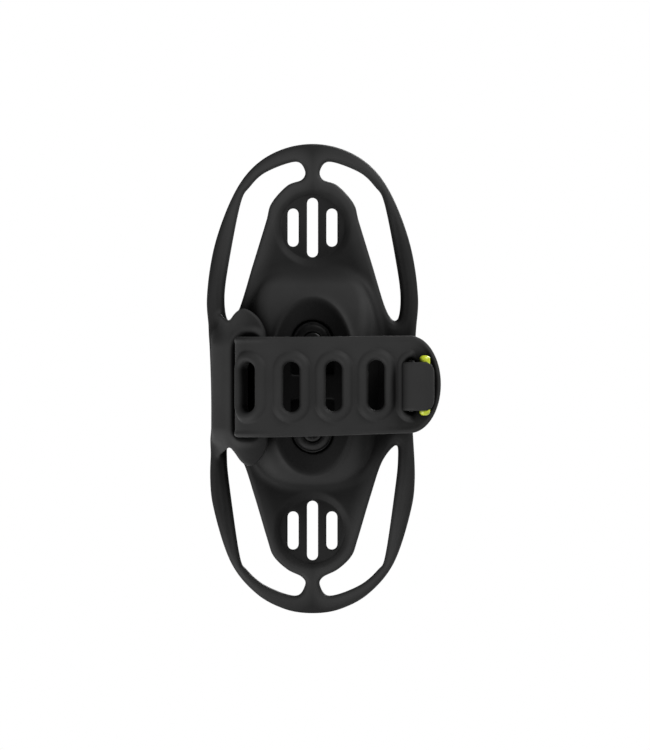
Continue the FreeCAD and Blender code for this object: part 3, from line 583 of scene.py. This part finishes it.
hook_path = Path((HOOK_LOW[0], HOOK_MIDDLE_Y), 0.0, [
    (HOOK_X - HOOK_LOW[0] - HOOK_BEND, 0),
    (HOOK_BEND, -math.pi / 2),
    (HOOK_MIDDLE_Y - HOOK_BEND - HOOK_HINGE[1] - FOLD, 0),
    (FOLD, math.pi / 2),
    (TONGUE_HIGH[0] - HOOK_X - FOLD, 0)])


# ---- harness

def opening_distance(x, z):
    """Distance to the nearest of the four openings inside the ring."""
    return np.minimum(*[curve_distance(closed_curve(outline(fractions)), np.abs(x), z)
                        for fractions in (UPPER_OPENING, LOWER_OPENING)])


def plate_distance(x, y, z):
    """The bowed plate: ring, four openings, two round recesses with vents."""
    side = RING_UPPER + RING_LOWER
    ring = curve_distance(closed_curve(outline(side) + outline(side[-2:0:-1], -1)), x, z)
    opening = opening_distance(x, z)
    flat = smooth_max(ring, -opening, OPENING_FILLET)
    in_ring = 1 - smooth_step(*RING_SPAN, opening - ring)
    along_side = smooth_step(*LEDGE_X, np.abs(x)) * (1 - smooth_step(*LEDGE_Z, np.abs(z)))
    sunk = LEDGE_DEPTH * (1 - smooth_step(*LEDGE_WIDTH, opening)) * along_side
    for height in RECESS_HEIGHTS:
        sunk = sunk + DISH_DEPTH * (1 - smooth_step(*DISH_SPAN, np.hypot(x, z - height)))
    depth = y - plate_middle(z)
    half = PLATE_THICKNESS / 2
    faces = np.maximum(-depth - half + sunk, depth - half)
    plate = rounded_prism(flat, faces, PLATE_EDGE + RING_EDGE * in_ring)
    for height in RECESS_HEIGHTS:
        recess = np.maximum(np.hypot(x, z - height) - RECESS_RADIUS, depth + half - RECESS_DEPTH)
        plate = smooth_max(plate, -recess, RECESS_FILLET)
        for step, length in zip((-1, 0, 1), VENT_LENGTHS):
            vent = rectangle(x - step * VENT_PITCH, z - height, VENT_WIDTH / 2, length / 2, VENT_WIDTH / 2)
            plate = smooth_max(plate, -vent, RECESS_FILLET)
    return plate


def mound_distance(grid):
    """The boss that carries the saddle: a squarish dome cut off by a bowed crown."""
    x, y, z = grid.x, grid.y, grid.z
    across, deep, upright = [np.abs(place - middle) / half for place, middle, half
                             in zip((x, y - PLATE_FACE, z), MOUND_MIDDLE, MOUND_HALF_SIZE)]
    footprint = (across ** MOUND_SQUARENESS + upright ** MOUND_SQUARENESS) ** (1 / MOUND_SQUARENESS)
    mound = np.hypot(footprint, deep) - 1
    slope = np.sqrt(sum(part ** 2 for part in np.gradient(mound, grid.cell)))
    mound = mound / np.maximum(slope, 0.01)
    crown = CROWN_RISE * (1 - (z / CROWN_REACH) ** 2)
    upper = (PLATE_FACE - y - crown) / np.hypot(1, 2 * CROWN_RISE * z / CROWN_REACH ** 2)
    mound = smooth_max(mound, upper, CROWN_FILLET)
    lip = SADDLE_LIP * bump(np.hypot(x, y) - BAR_RADIUS, SADDLE_LIP_WIDTH)
    return np.maximum(mound - lip, y - PLATE_FACE - MOUND_ROOT)


def circle_through(first, second, third):
    """Centre and radius of the circle through three points of the XY plane."""
    rows = np.array([np.subtract(second, first), np.subtract(third, first)], float)
    centre = np.linalg.solve(2 * rows, (rows ** 2).sum(1) + 2 * rows @ np.array(first))
    return centre, np.hypot(*(centre - first))


def wing_distance(x, y, z):
    """The curved flap on the left, with a beaded window for the strap."""
    centre, radius = circle_through(WING_FOOT, WING_SHOULDER, WING_TIP)
    flat = curve_distance(closed_curve(UPPER_LOBE + LOWER_LOBE), x, z)
    sink = FOOT_SINK * smooth_step(*FOOT_SINK_Z, np.abs(z)) * (1 - smooth_step(*FOOT_SINK_X, x))
    sink = sink + LOBE_SINK * smooth_step(*LOBE_SINK_Z, np.abs(z))
    window = rectangle(x - WINDOW_CENTRE, z, *WINDOW_HALF, WINDOW_CORNER)
    bead = WINDOW_BEAD * bump(window - BEAD_PLACE, BEAD_WIDTH)
    middle = np.hypot(x - centre[0], y - sink - centre[1]) - radius + WING_WALL / 2
    wing = rounded_prism(flat, np.abs(middle) - WING_WALL / 2 - bead, WING_EDGE)
    wing = smooth_max(wing, -window, WING_EDGE)
    return np.maximum(wing, y - PLATE_FACE - WING_ROOT)


def strip_room(path, x, y, z, half_thickness, half_height):
    """The room that a strip takes up, and a little more."""
    return np.maximum(path.distance(x, y) - half_thickness, np.abs(z) - half_height) - STRIP_SPARE


def core_room(x, y, z):
    """The room that the hard core takes up inside the boss."""
    sides = rectangle(x, z, CORE_HIGH[0], CORE_HIGH[2], CORE_HIGH[0] / 2)
    middle, half = (CORE_LOW[1] + CORE_HIGH[1]) / 2, (CORE_HIGH[1] - CORE_LOW[1]) / 2
    return np.maximum(sides, np.abs(y - middle) - half)


def harness_field(grid):
    """The whole harness, with the saddle, the fasteners' pocket and room for what is moulded in."""
    x, y, z = grid.x, grid.y, grid.z
    body = smooth_min(plate_distance(x, y, z), mound_distance(grid), MOUND_FILLET)
    body = smooth_min(body, wing_distance(x, y, z), WING_FILLET)
    body = smooth_max(body, BAR_RADIUS - np.hypot(x, y), SADDLE_FILLET)
    pocket = rectangle(x, z, POCKET_RADIUS, SCREW_Z + POCKET_RADIUS, POCKET_RADIUS)
    web = np.maximum(np.abs(z) - WEB_HALF_HEIGHT, y - BRIDGE_LOW[1])
    pocket = smooth_max(np.maximum(pocket, y - CORE_LOW[1]), -web, WEB_FILLET)
    body = smooth_max(body, -pocket, POCKET_FILLET)
    body = np.maximum(body, -core_room(x, y, z))
    body = np.maximum(body, -strip_room(strap_path, x, y, z, ANCHOR_HALF, ANCHOR_HIGH[2]))
    return np.maximum(body, -strip_room(hook_path, x, y, z, HOOK_THICKNESS / 2, HOOK_HIGH[2]))


def harness_painted_shade(mesh):
    """Painted light and shade: brightest on the ring, the edges and what stands out, darker on the flat plate,
    darker still on the saddle behind the strap, and darkest in the pocket.
    """
    place = np.zeros(3 * len(mesh.vertices))
    mesh.vertices.foreach_get("co", place)
    x, y, z = place.reshape(-1, 3).T / MM
    height = plate_middle(z) - PLATE_THICKNESS / 2 - y
    saddle = 1 - smooth_step(*SADDLE_FADE, np.hypot(x, y) - BAR_RADIUS)
    # Painted shade: the pocket behind the strap is darkest.
    pocket = rectangle(x, z, CORE_HIGH[0], SCREW_Z + POCKET_RADIUS, POCKET_RADIUS) < 0
    pocket = pocket & (y > WASHER_FACE) & (y < CORE_LOW[1] + 1)
    # Painted light: what stands out of the plate, and the ring round the openings, are brighter.
    raised = RAISED_PAINTED_LEVEL * smooth_step(*RAISED_HEIGHT, height) * (1 - np.maximum(saddle, pocket))
    exposed = np.maximum(1 - smooth_step(*OPENING_FADE, opening_distance(x, z)), raised)
    # Painted shadow of the strap: the saddle darkens towards its middle.
    strap_shadow = saddle * (1 - smooth_step(*SADDLE_MIDDLE, np.abs(z)))
    return np.where(pocket, 0, BARE_PAINTED_LEVEL * (1 - strap_shadow) + (1 - BARE_PAINTED_LEVEL) * exposed)


def loop_frame(fractions, mirror):
    """Start and end of a corner loop's hinge line, its direction and the way out from it."""
    start, end = [Vector((px, float(plate_middle(pz)), pz)) for px, pz in outline(fractions, mirror)]
    along = (end - start).normalized()
    outward = Vector((along.z, 0, -along.x)).normalized()
    if outward.x * mirror < 0:
        outward.negate()
    return start, end, along, outward


def biggest_patch(faces):
    """The biggest group of the faces that hang together."""
    remaining, patches = set(faces), []
    while remaining:
        waiting = [remaining.pop()]
        patch = set(waiting)
        while waiting:
            beside = {other for edge in waiting.pop().edges for other in edge.link_faces} & remaining
            remaining -= beside
            patch |= beside
            waiting += beside
        patches.append(patch)
    return max(patches, key=len)


def harness_shape():
    """The harness in one, with the surface's normals kept on its points."""
    low = (-GRID_HALF_WIDTH, WING_LOW[1] - GRID_MARGIN, BOTTOM - GRID_MARGIN)
    high = (GRID_HALF_WIDTH, HARNESS_HIGH[1] + GRID_MARGIN, TOP + GRID_MARGIN)
    grid = Grid(low, high, HARNESS_CELL)
    points, faces, normals = surface_net(grid, harness_field(grid))
    shape = bmesh.new()
    layer = shape.verts.layers.float_vector.new("surface_normal")
    corners = []
    for point, normal in zip(points, normals):
        corner = shape.verts.new(point)
        corner[layer] = normal
        corners.append(corner)
    for face in faces:
        shape.faces.new([corners[i] for i in face])
    return shape


def cut_roots(shape, loops):
    """Cuts the harness across both roots of every corner loop."""
    for start, end, along, outward in loops.values():
        for place in (start, end):
            near = [face for face in shape.faces
                    if (face.calc_center_median() - place).length < LOOP_CUT_REACH
                    and (face.calc_center_median() - place).dot(outward) > -LOOP_INSIDE]
            edges = {edge for face in near for edge in face.edges}
            verts = {vert for face in near for vert in face.verts}
            bmesh.ops.bisect_plane(shape, geom=[*near, *edges, *verts], plane_co=place, plane_no=along,
                                   dist=1e-4)


def loop_at(place, loops):
    """Name of the corner loop that a place is in, or centre."""
    for key, (start, end, along, outward) in loops.items():
        between = (place - start).dot(along) > 0 > (place - end).dot(along)
        if between and (place - start).dot(outward) > -LOOP_INSIDE:
            return key
    return "centre"


def face_owners(shape, loops):
    """The loop or centre that each face goes to. Crumbs beside a loop stay with the centre."""
    owners = {face: loop_at(face.calc_center_median(), loops) for face in shape.faces}
    for key in loops:
        mine = [face for face, name in owners.items() if name == key]
        for face in set(mine) - biggest_patch(mine):
            owners[face] = "centre"
    return [owners[face] for face in shape.faces]


def part_of(whole, keep, name):
    """A closed piece from the faces of the whole that are to be kept."""
    shape = whole.copy()
    shape.faces.ensure_lookup_table()
    drop = [face for face, kept in zip(shape.faces, keep) if not kept]
    bmesh.ops.delete(shape, geom=drop, context="FACES")
    count = len(shape.faces)
    bmesh.ops.holes_fill(shape, edges=[edge for edge in shape.edges if edge.is_boundary], sides=0)
    bmesh.ops.recalc_face_normals(shape, faces=shape.faces[:])
    layer = shape.verts.layers.float_vector["surface_normal"]
    normals = np.array([vert[layer] for vert in shape.verts])
    normals /= np.maximum(np.linalg.norm(normals, axis=1), 1e-6)[:, None]
    shape.verts.layers.float_vector.remove(layer)
    bmesh.ops.scale(shape, vec=(MM, MM, MM), verts=shape.verts)
    mesh = bpy.data.meshes.new(name)
    shape.to_mesh(mesh)
    shape.free()
    piece = add_object(name, mesh)
    shade(mesh, normals, range(count, len(mesh.polygons)))
    set_painted_shade(mesh, harness_painted_shade(mesh))
    return piece


def build_harness(material):
    """The centre on the holder, and four corner loops cut off at their roots."""
    loops = {}
    for level, fractions in (("upper", UPPER_HINGE), ("lower", LOWER_HINGE)):
        for hand, mirror in (("right", 1), ("left", -1)):
            loops[f"{level}_{hand}"] = loop_frame(fractions, mirror)
    whole = harness_shape()
    cut_roots(whole, loops)
    owners = face_owners(whole, loops)
    centre = part_of(whole, [owner == "centre" for owner in owners], "harness_body")
    finish_piece(centre, material, "silicone", ["harness_back", "saddle_boss", "strap_wing"])
    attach(centre, "holder")
    for key, (start, _, _, outward) in loops.items():
        piece = part_of(whole, [owner == key for owner in owners], f"loop_{key}")
        finish_piece(piece, material, "silicone", [f"corner_loop_{key}"])
        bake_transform(piece)
    whole.free()


# ---- strap

def strap_outline(root, flat_start, end):
    """Upper edge of the flat strap: the anchor strip, the widening neck, the band and the round tab."""
    slim, wide = ANCHOR_HIGH[2], STRAP_HALF_HEIGHT + STRAP_SWELL
    points = [(STRIP_START, slim), (root + NECK[0], slim), (root + NECK[1], TAB_HALF_HEIGHT),
              (root + NECK[2], wide), (flat_start, wide), (end - TAB_LENGTH, TAB_HALF_HEIGHT)]
    for turn in np.radians(np.arange(6, 90, 6)):
        points.append((end - TAB_LENGTH * (1 - math.sin(turn)), TAB_HALF_HEIGHT * math.cos(turn)))
    return points


def strap_distance(along, left, z):
    """The strap laid flat: the strip under the bridge, the holes with raised rims and the round end."""
    end = strap_path.length
    root = sum(run[1] for run in strap_path.runs[:2]) + ANCHOR_MIDDLE_Y - ANCHOR_BEND - STRAP_HINGE[1]
    flat_start = end - strap_path.runs[-1][1]
    z = z - STRAP_LIFT * smooth_step(flat_start, end, along)
    upper = strap_outline(root, flat_start, end)
    sheet = curve_distance(upper + [(end, 0)] + [(px, -pz) for px, pz in reversed(upper)], along, z)
    places = [end - STRAP_HIGH[0] + place for place in HOLE_PLACES]
    places.append(flat_start - STRAP_BEND * BENT_HOLE_ANGLE)
    width, height = HOLE_SIZE
    holes = np.minimum.reduce([rectangle(along - place, z, width / 2, height / 2, width / 2)
                               for place in places])
    slot_along = along - end + STRAP_HIGH[0] - SLOT_CENTRE
    slot = rectangle(slot_along, z + SLOT_DROP, *SLOT_HALF, SLOT_HALF[0])
    rim = np.sin(math.pi * np.clip((holes + RIM_ROOT) / (RIM_WIDTH + RIM_ROOT), 0, 1))
    slot_rim = np.sin(math.pi * np.clip((slot + RIM_ROOT) / RIM_WIDTH, 0, 1))
    slot_rim = slot_rim * (1 - smooth_step(*SLOT_RIM_END, slot_along))
    raised = RIM_RISE * np.maximum(rim, slot_rim) + HEM_RISE * bump(sheet + HEM_PLACE, HEM_WIDTH)
    screws = np.hypot(along - ANCHOR_HIGH[0], np.abs(z) - SCREW_Z) - SCREW_HOLE
    sheet = smooth_max(sheet, -np.minimum(np.minimum(holes, slot), screws), HOLE_FILLET)
    thicker = smooth_step(root + NECK_THICKENS[0], root + NECK_THICKENS[1], along)
    half = ANCHOR_HALF + (STRAP_THICKNESS / 2 - ANCHOR_HALF) * thicker
    return rounded_prism(sheet, np.maximum(-left - half - raised, left - half), STRAP_EDGE)


def build_strap(material):
    """The strap with its anchor strip, bending at the wing's window."""
    low = (-0.5, -STRAP_THICKNESS / 2 - RIM_RISE - 1, -STRAP_HALF_HEIGHT - 2)
    high = (strap_path.length + 1, STRAP_THICKNESS / 2 + 1, STRAP_HALF_HEIGHT + 3)
    piece = bend_piece("strap_band", strap_path, low, high, strap_distance)
    finish_piece(piece, material, "silicone", ["strap", "anchor_strip"])
    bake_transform(piece)


# ---- hook and toggle

def hook_outline(leg, end):
    """Upper edge of the flat hook: the broad arm, narrowing to the tongue with its rounded tip."""
    points = [(STRIP_START, HOOK_HIGH[2])]
    for place, height, corners in ((leg, HOOK_HIGH[2], LEG_TAPER), (leg, TONGUE_HIGH[2], TONGUE_TAPER),
                                   (end, TONGUE_HIGH[2], TIP_CORNER)):
        points += [(place + further, height + out) for further, out in corners]
    return points


def hook_distance(along, left, z):
    """The hook arm and its folded tongue laid flat, with an arch over the toggle bar."""
    end = hook_path.length
    fold = end - hook_path.runs[-1][1] - hook_path.runs[-2][1]
    leg = fold + HOOK_HINGE[1] + FOLD + LEG_END
    z = z - TONGUE_SHIFT * smooth_step(leg, fold, along)
    upper = hook_outline(leg, end)
    sheet = curve_distance(upper + [(px, -pz) for px, pz in reversed(upper)], along, z)
    half = HOOK_THICKNESS / 2
    place = (along - end + TONGUE_HALF) / TONGUE_HALF
    arch = (TONGUE_RISE - half) * np.sqrt(np.clip(1 - place ** 2, 0, 1))
    arch = arch - TIP_FALL * smooth_step(end - TONGUE_TIP, end, along)
    lean = TIP_LEAN * smooth_step(end - TONGUE_TIP, end - 1, along)
    tongue = rounded_prism(sheet, np.maximum(-left - half - arch, left - half - lean), HOOK_EDGE)
    toggle_along = end - TONGUE_HIGH[0] + TOGGLE_CENTRE[0]
    toggle_left = TOGGLE_CENTRE[1] - HOOK_HINGE[1]
    return np.maximum(tongue, TOGGLE_RADIUS - np.hypot(along - toggle_along, left - toggle_left))


def build_hook(material):
    """The hook arm with its tongue, bending at the hook's hinge."""
    low = (-0.5, -5, -HOOK_HIGH[2] - 1.5)
    high = (hook_path.length + 1, HOOK_THICKNESS / 2 + 1, HOOK_HIGH[2] + 2)
    piece = bend_piece("hook_band", hook_path, low, high, hook_distance)
    finish_piece(piece, material, "silicone", ["hook_arm", "hook_tongue"])
    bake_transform(piece)


def ring_points(radius, height, corners, count):
    """Points around Z on a circle, or on a polygon with that many corners."""
    angles = 2 * math.pi * np.arange(count) / count
    reach = np.full(count, float(radius))
    if corners:
        sector = 2 * math.pi / corners
        reach = radius / np.cos((angles + sector / 2) % sector - sector / 2)
    return [Vector((r * math.cos(a), r * math.sin(a), height)) for r, a in zip(reach, angles)]


def turned_piece(name, profile, place, axis, count=96):
    """A closed turned piece. Profile rows are (radius, height, corners), and 0 corners give a circle."""
    turn = Vector((0, 0, 1)).rotation_difference(Vector(axis)).to_matrix()
    endless = profile[0] == profile[-1]
    rings = profile[:-1] if endless else profile
    points = [turn @ point + Vector(place) for ring in rings for point in ring_points(*ring, count)]
    faces = []
    for ring in range(len(profile) - 1):
        here, beyond = ring * count, (ring + 1) % len(rings) * count
        for i in range(count):
            j = (i + 1) % count
            faces.append((here + i, here + j, beyond + j, beyond + i))
    if not endless:
        faces.append(tuple(reversed(range(count))))
        faces.append(tuple(range(len(points) - count, len(points))))
    piece = new_piece(name, points, faces)
    shape = bmesh.new()
    shape.from_mesh(piece.data)
    bmesh.ops.recalc_face_normals(shape, faces=shape.faces[:])
    shape.to_mesh(piece.data)
    shape.free()
    shade(piece.data)
    piece.data.set_sharp_from_angle(angle=math.radians(50))
    return piece


def round_rings(rows):
    """Profile rows without corners, from radius and height."""
    return [(radius, height, 0) for radius, height in rows]


def build_toggle(material):
    """The toggle bar: a rod with rounded ends."""
    half = TOGGLE_LENGTH / 2
    end = [(TOGGLE_RADIUS - TOGGLE_ROUND * (1 - math.sin(turn)), half - TOGGLE_ROUND * (1 - math.cos(turn)))
           for turn in np.radians(np.arange(0, 91, 15))]
    rows = [(radius, -height) for radius, height in end]
    rows += [(TOGGLE_RADIUS, height) for height in np.linspace(2 - half, half - 2, 9)]
    rows += reversed(end)
    place = TOGGLE_CENTRE + np.array([0, 0, TOGGLE_RAISE])
    piece = turned_piece("toggle_rod", round_rings(rows), place, (0, 0, 1), 64)
    finish_piece(piece, material, "toggle_plastic", ["toggle_bar"])
    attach(piece, "hook_tip")


# ---- fasteners

def washer_profile():
    """A flange washer with a raised ring near its rim and a seat for the screw's head."""
    seat, hole = HEAD_RADIUS + SEAT_GAP, SHANK_RADIUS + SHANK_ROOM
    bevel_width, bevel_depth = SEAT_BEVEL
    rows = [(seat, bevel_depth), (seat + bevel_width, 0)]
    rows += [(WASHER_RADIUS - inward, depth) for inward, depth in WASHER_RIM]
    rows += [(WASHER_RADIUS, WASHER_THICKNESS - WASHER_BEVEL),
             (WASHER_RADIUS - WASHER_BEVEL, WASHER_THICKNESS),
             (hole, WASHER_THICKNESS), (hole, WASHER_THICKNESS - WASHER_BEVEL),
             (seat, SEAT_DEPTH), (seat, bevel_depth)]
    return round_rings(rows)


def screw_profile():
    """A screw with a six-sided socket, a low round head and a threaded shank."""
    rows = [SOCKET_MOUTH]
    rows += [(HEAD_RADIUS - inward, depth) for inward, depth in HEAD_RIM]
    rows.append((SHANK_RADIUS, HEAD_BASE))
    for turn in range(THREADS):
        rows += [(SHANK_RADIUS - inward, THREAD_START + THREAD_PITCH * turn + depth)
                 for inward, depth in THREAD_TOOTH]
    rows.append((SHANK_RADIUS - SHANK_POINT, SHANK_END))
    mouth, bottom = SOCKET_SPAN
    return [(SOCKET_RADIUS, bottom, 6), (SOCKET_RADIUS, mouth, 6), *round_rings(rows)]


def build_fasteners(material):
    """Both washers and screws, facing the handlebar."""
    for level, height in (("upper", SCREW_Z), ("lower", -SCREW_Z)):
        for kind, node, profile in (("washer", "flange_washer", washer_profile()),
                                    ("screw", "clamp_screw", screw_profile())):
            piece = turned_piece(f"{kind}_{level}", profile, (0, WASHER_FACE, height), (0, 1, 0))
            finish_piece(piece, material, "fastener_black", [f"{node}_{level}"])
            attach(piece, "holder")


# ---- materials

class Nodes:
    """A material's node tree with short ways to add and join nodes."""

    def __init__(self, name):
        self.material = bpy.data.materials.new(name)
        self.material.use_nodes = True
        self.tree = self.material.node_tree
        self.shader = self.tree.nodes["Principled BSDF"]
        self.place = self.add("ShaderNodeTexCoord").outputs["Object"]

    def add(self, kind, **settings):
        """A new node. The settings are its inputs or properties."""
        node = self.tree.nodes.new(kind)
        for key, value in settings.items():
            if key in node.inputs:
                node.inputs[key].default_value = value
            else:
                setattr(node, key, value)
        return node

    def join(self, source, target):
        """Leads an output to an input."""
        self.tree.links.new(source, target)

    def noise(self, scale, detail):
        """A cloudy value all over the object."""
        node = self.add("ShaderNodeTexNoise", Scale=scale, Detail=detail)
        self.join(self.place, node.inputs["Vector"])
        return node.outputs["Fac"]

    def ramp(self, source, stops):
        """The colour at a value, from stops of (value, colour)."""
        node = self.add("ShaderNodeValToRGB")
        ramp = node.color_ramp
        while len(ramp.elements) < len(stops):
            ramp.elements.new(1.0)
        for element, (place, colour) in zip(ramp.elements, stops):
            element.position = place
            element.color = (*colour, 1)
        self.join(source, node.inputs["Fac"])
        return node.outputs["Color"]

    def clouds(self, scale, detail, dark, light):
        """Soft clouds between two colours."""
        return self.ramp(self.noise(scale, detail), [(0.3, dark), (0.7, light)])

    def painted_occlusion(self):
        """Painted shade: dark in recesses, white where the surface is open to all sides."""
        node = self.add("ShaderNodeAmbientOcclusion", samples=16, Distance=0.07)
        stops = [(0.3, grey(0.07)), (0.52, grey(0.14)), (0.76, grey(0.62)), (0.93, grey(1.0))]
        return self.ramp(node.outputs["AO"], stops)

    def times(self, first, second):
        """The product of two colours."""
        node = self.add("ShaderNodeMix", data_type="RGBA", blend_type="MULTIPLY", Factor=1.0)
        for source, socket in zip((first, second), [part for part in node.inputs if part.type == "RGBA"]):
            self.join(source, socket)
        return next(part for part in node.outputs if part.type == "RGBA")

    def scaled(self, source, low, high):
        """The noise's usual range, 0.3 to 0.7, spread over low to high."""
        span = {"From Min": 0.3, "From Max": 0.7, "To Min": low, "To Max": high}
        node = self.add("ShaderNodeMapRange", **span)
        self.join(source, node.inputs["Value"])
        return node.outputs["Result"]

    def surface(self, colour, mottle, grain, **settings):
        """The finished material. Its roughness mottles by (scale, detail, low, high), and fine grain
        covers it by (scale, height in metres, strength)."""
        scale, detail, low, high = mottle
        roughness = self.scaled(self.noise(scale, detail), low, high)
        scale, height, strength = grain
        bump = self.add("ShaderNodeBump", Strength=strength, Distance=height)
        self.join(self.noise(scale, 2), bump.inputs["Height"])
        self.join(colour, self.shader.inputs["Base Color"])
        self.join(roughness, self.shader.inputs["Roughness"])
        self.join(bump.outputs["Normal"], self.shader.inputs["Normal"])
        for key, value in settings.items():
            self.shader.inputs[key.replace("_", " ")].default_value = value
        return self.material


def grey(value):
    """A neutral colour."""
    return (value, value, value)


def silicone_material():
    """Matt black rubber: a fine moulded grain, soft clouds, and painted shade: darker in recesses, on the flat
    plate and in the pocket, brighter on what stands out.
    """
    nodes = Nodes("silicone")
    # Painted shade in recesses, multiplied into the colour.
    colour = nodes.times(nodes.clouds(55, 4, grey(0.0325), grey(0.04)), nodes.painted_occlusion())
    # Painted light and shade from the point attribute, multiplied into the colour.
    painted_shade = nodes.add("ShaderNodeAttribute", attribute_name="painted_shade")
    stops = [(0.0, grey(0.12)), (BARE_PAINTED_LEVEL, grey(0.5)), (1.0, grey(1.0))]
    colour = nodes.times(colour, nodes.ramp(painted_shade.outputs["Fac"], stops))
    return nodes.surface(colour, (240, 4, 0.5, 0.62), (2600, 3e-5, 0.6), Specular_IOR_Level=0.05)


def fastener_material():
    """Black coated steel."""
    nodes = Nodes("fastener_black")
    # Painted shade in recesses, multiplied into the colour.
    colour = nodes.times(nodes.clouds(400, 3, grey(0.014), grey(0.025)), nodes.painted_occlusion())
    return nodes.surface(colour, (1200, 3, 0.28, 0.42), (3000, 1e-5, 0.5), Metallic=0.6)


def plastic_material(name, colour, roughness, specular):
    """Moulded plastic with a faint grain."""
    nodes = Nodes(name)
    darker = tuple(0.85 * part for part in colour)
    # Painted shade in recesses, multiplied into the colour.
    shaded = nodes.times(nodes.clouds(300, 3, darker, colour), nodes.painted_occlusion())
    return nodes.surface(shaded, (900, 3, roughness, roughness + 0.1), (2500, 1e-5, 0.5),
                         Specular_IOR_Level=specular)


def brass_material():
    """Turned brass with duller clouds."""
    nodes = Nodes("insert_brass")
    colour = nodes.clouds(500, 3, (0.5, 0.33, 0.12), (0.62, 0.43, 0.18))
    return nodes.surface(colour, (900, 3, 0.25, 0.4), (2500, 1e-5, 0.5), Metallic=1.0)


def dress_node(name, material):
    """A CAD node that shows as it is takes a material."""
    node = frame["nodes"][name]
    node.data.materials.clear()
    node.data.materials.append(material)


# ---- room, lights and camera

def build_floor():
    """A plain pale floor that neither shades nor tints the object."""
    level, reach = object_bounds()[0].z, 3.0
    mesh = bpy.data.meshes.new("floor")
    corners = [(-reach, -reach, level), (reach, -reach, level), (reach, reach, level), (-reach, reach, level)]
    mesh.from_pydata(corners, [], [(0, 1, 2, 3)])
    floor = add_object("floor", mesh)
    nodes = Nodes("floor")
    nodes.join(nodes.clouds(3, 2, grey(0.9), grey(0.92)), nodes.shader.inputs["Base Color"])
    nodes.shader.inputs["Roughness"].default_value = 0.9
    mesh.materials.append(nodes.material)
    floor.visible_shadow = False
    floor.visible_diffuse = False


def build_world():
    """White behind the object, and only a soft even light on it."""
    world = bpy.data.worlds.new("studio")
    bpy.context.scene.world = world
    world.use_nodes = True
    tree = world.node_tree
    backdrop = tree.nodes["Background"]
    soft = tree.nodes.new("ShaderNodeBackground")
    for background, strength in ((backdrop, 1.0), (soft, 0.12)):
        background.inputs["Color"].default_value = (1, 1, 1, 1)
        background.inputs["Strength"].default_value = strength
    seen = tree.nodes.new("ShaderNodeLightPath")
    mix = tree.nodes.new("ShaderNodeMixShader")
    tree.links.new(seen.outputs["Is Camera Ray"], mix.inputs["Fac"])
    tree.links.new(soft.outputs["Background"], mix.inputs[1])
    tree.links.new(backdrop.outputs["Background"], mix.inputs[2])
    tree.links.new(mix.outputs["Shader"], tree.nodes["World Output"].inputs["Surface"])


def add_light(name, place, size, power):
    """A round lamp that points at the object."""
    light = bpy.data.lights.new(name, "AREA")
    light.shape = "DISK"
    light.size = size
    light.energy = power
    lamp = add_object(name, light)
    lamp.location = place
    lamp.rotation_euler = (-Vector(place)).to_track_quat("-Z", "Y").to_euler()


def build_camera():
    """A camera square on to the handlebar side, as in a catalogue picture."""
    data = bpy.data.cameras.new("camera")
    data.type = "ORTHO"
    data.ortho_scale = VIEW_HEIGHT * MM
    camera = add_object("camera", data)
    camera.location = Vector(VIEW_CENTRE) * MM
    camera.rotation_euler = (math.radians(90), 0, 0)
    bpy.context.scene.camera = camera


# ---- the scene

silicone = silicone_material()
build_harness(silicone)
build_strap(silicone)
build_hook(silicone)
build_toggle(plastic_material("toggle_plastic", (0.54, 0.62, 0.03), 0.3, 0.4))
build_fasteners(fastener_material())
core = plastic_material("core_plastic", grey(0.006), 0.5, 0.05)
for name in ("bridge_plate", "saddle_core"):
    dress_node(name, core)
brass = brass_material()
for level in ("upper", "lower"):
    dress_node(f"threaded_insert_{level}", brass)
build_floor()
build_world()
for name, place, size, power in LIGHTS:
    add_light(name, place, size, power)
bpy.context.scene.view_settings.view_transform = "Standard"
build_camera()
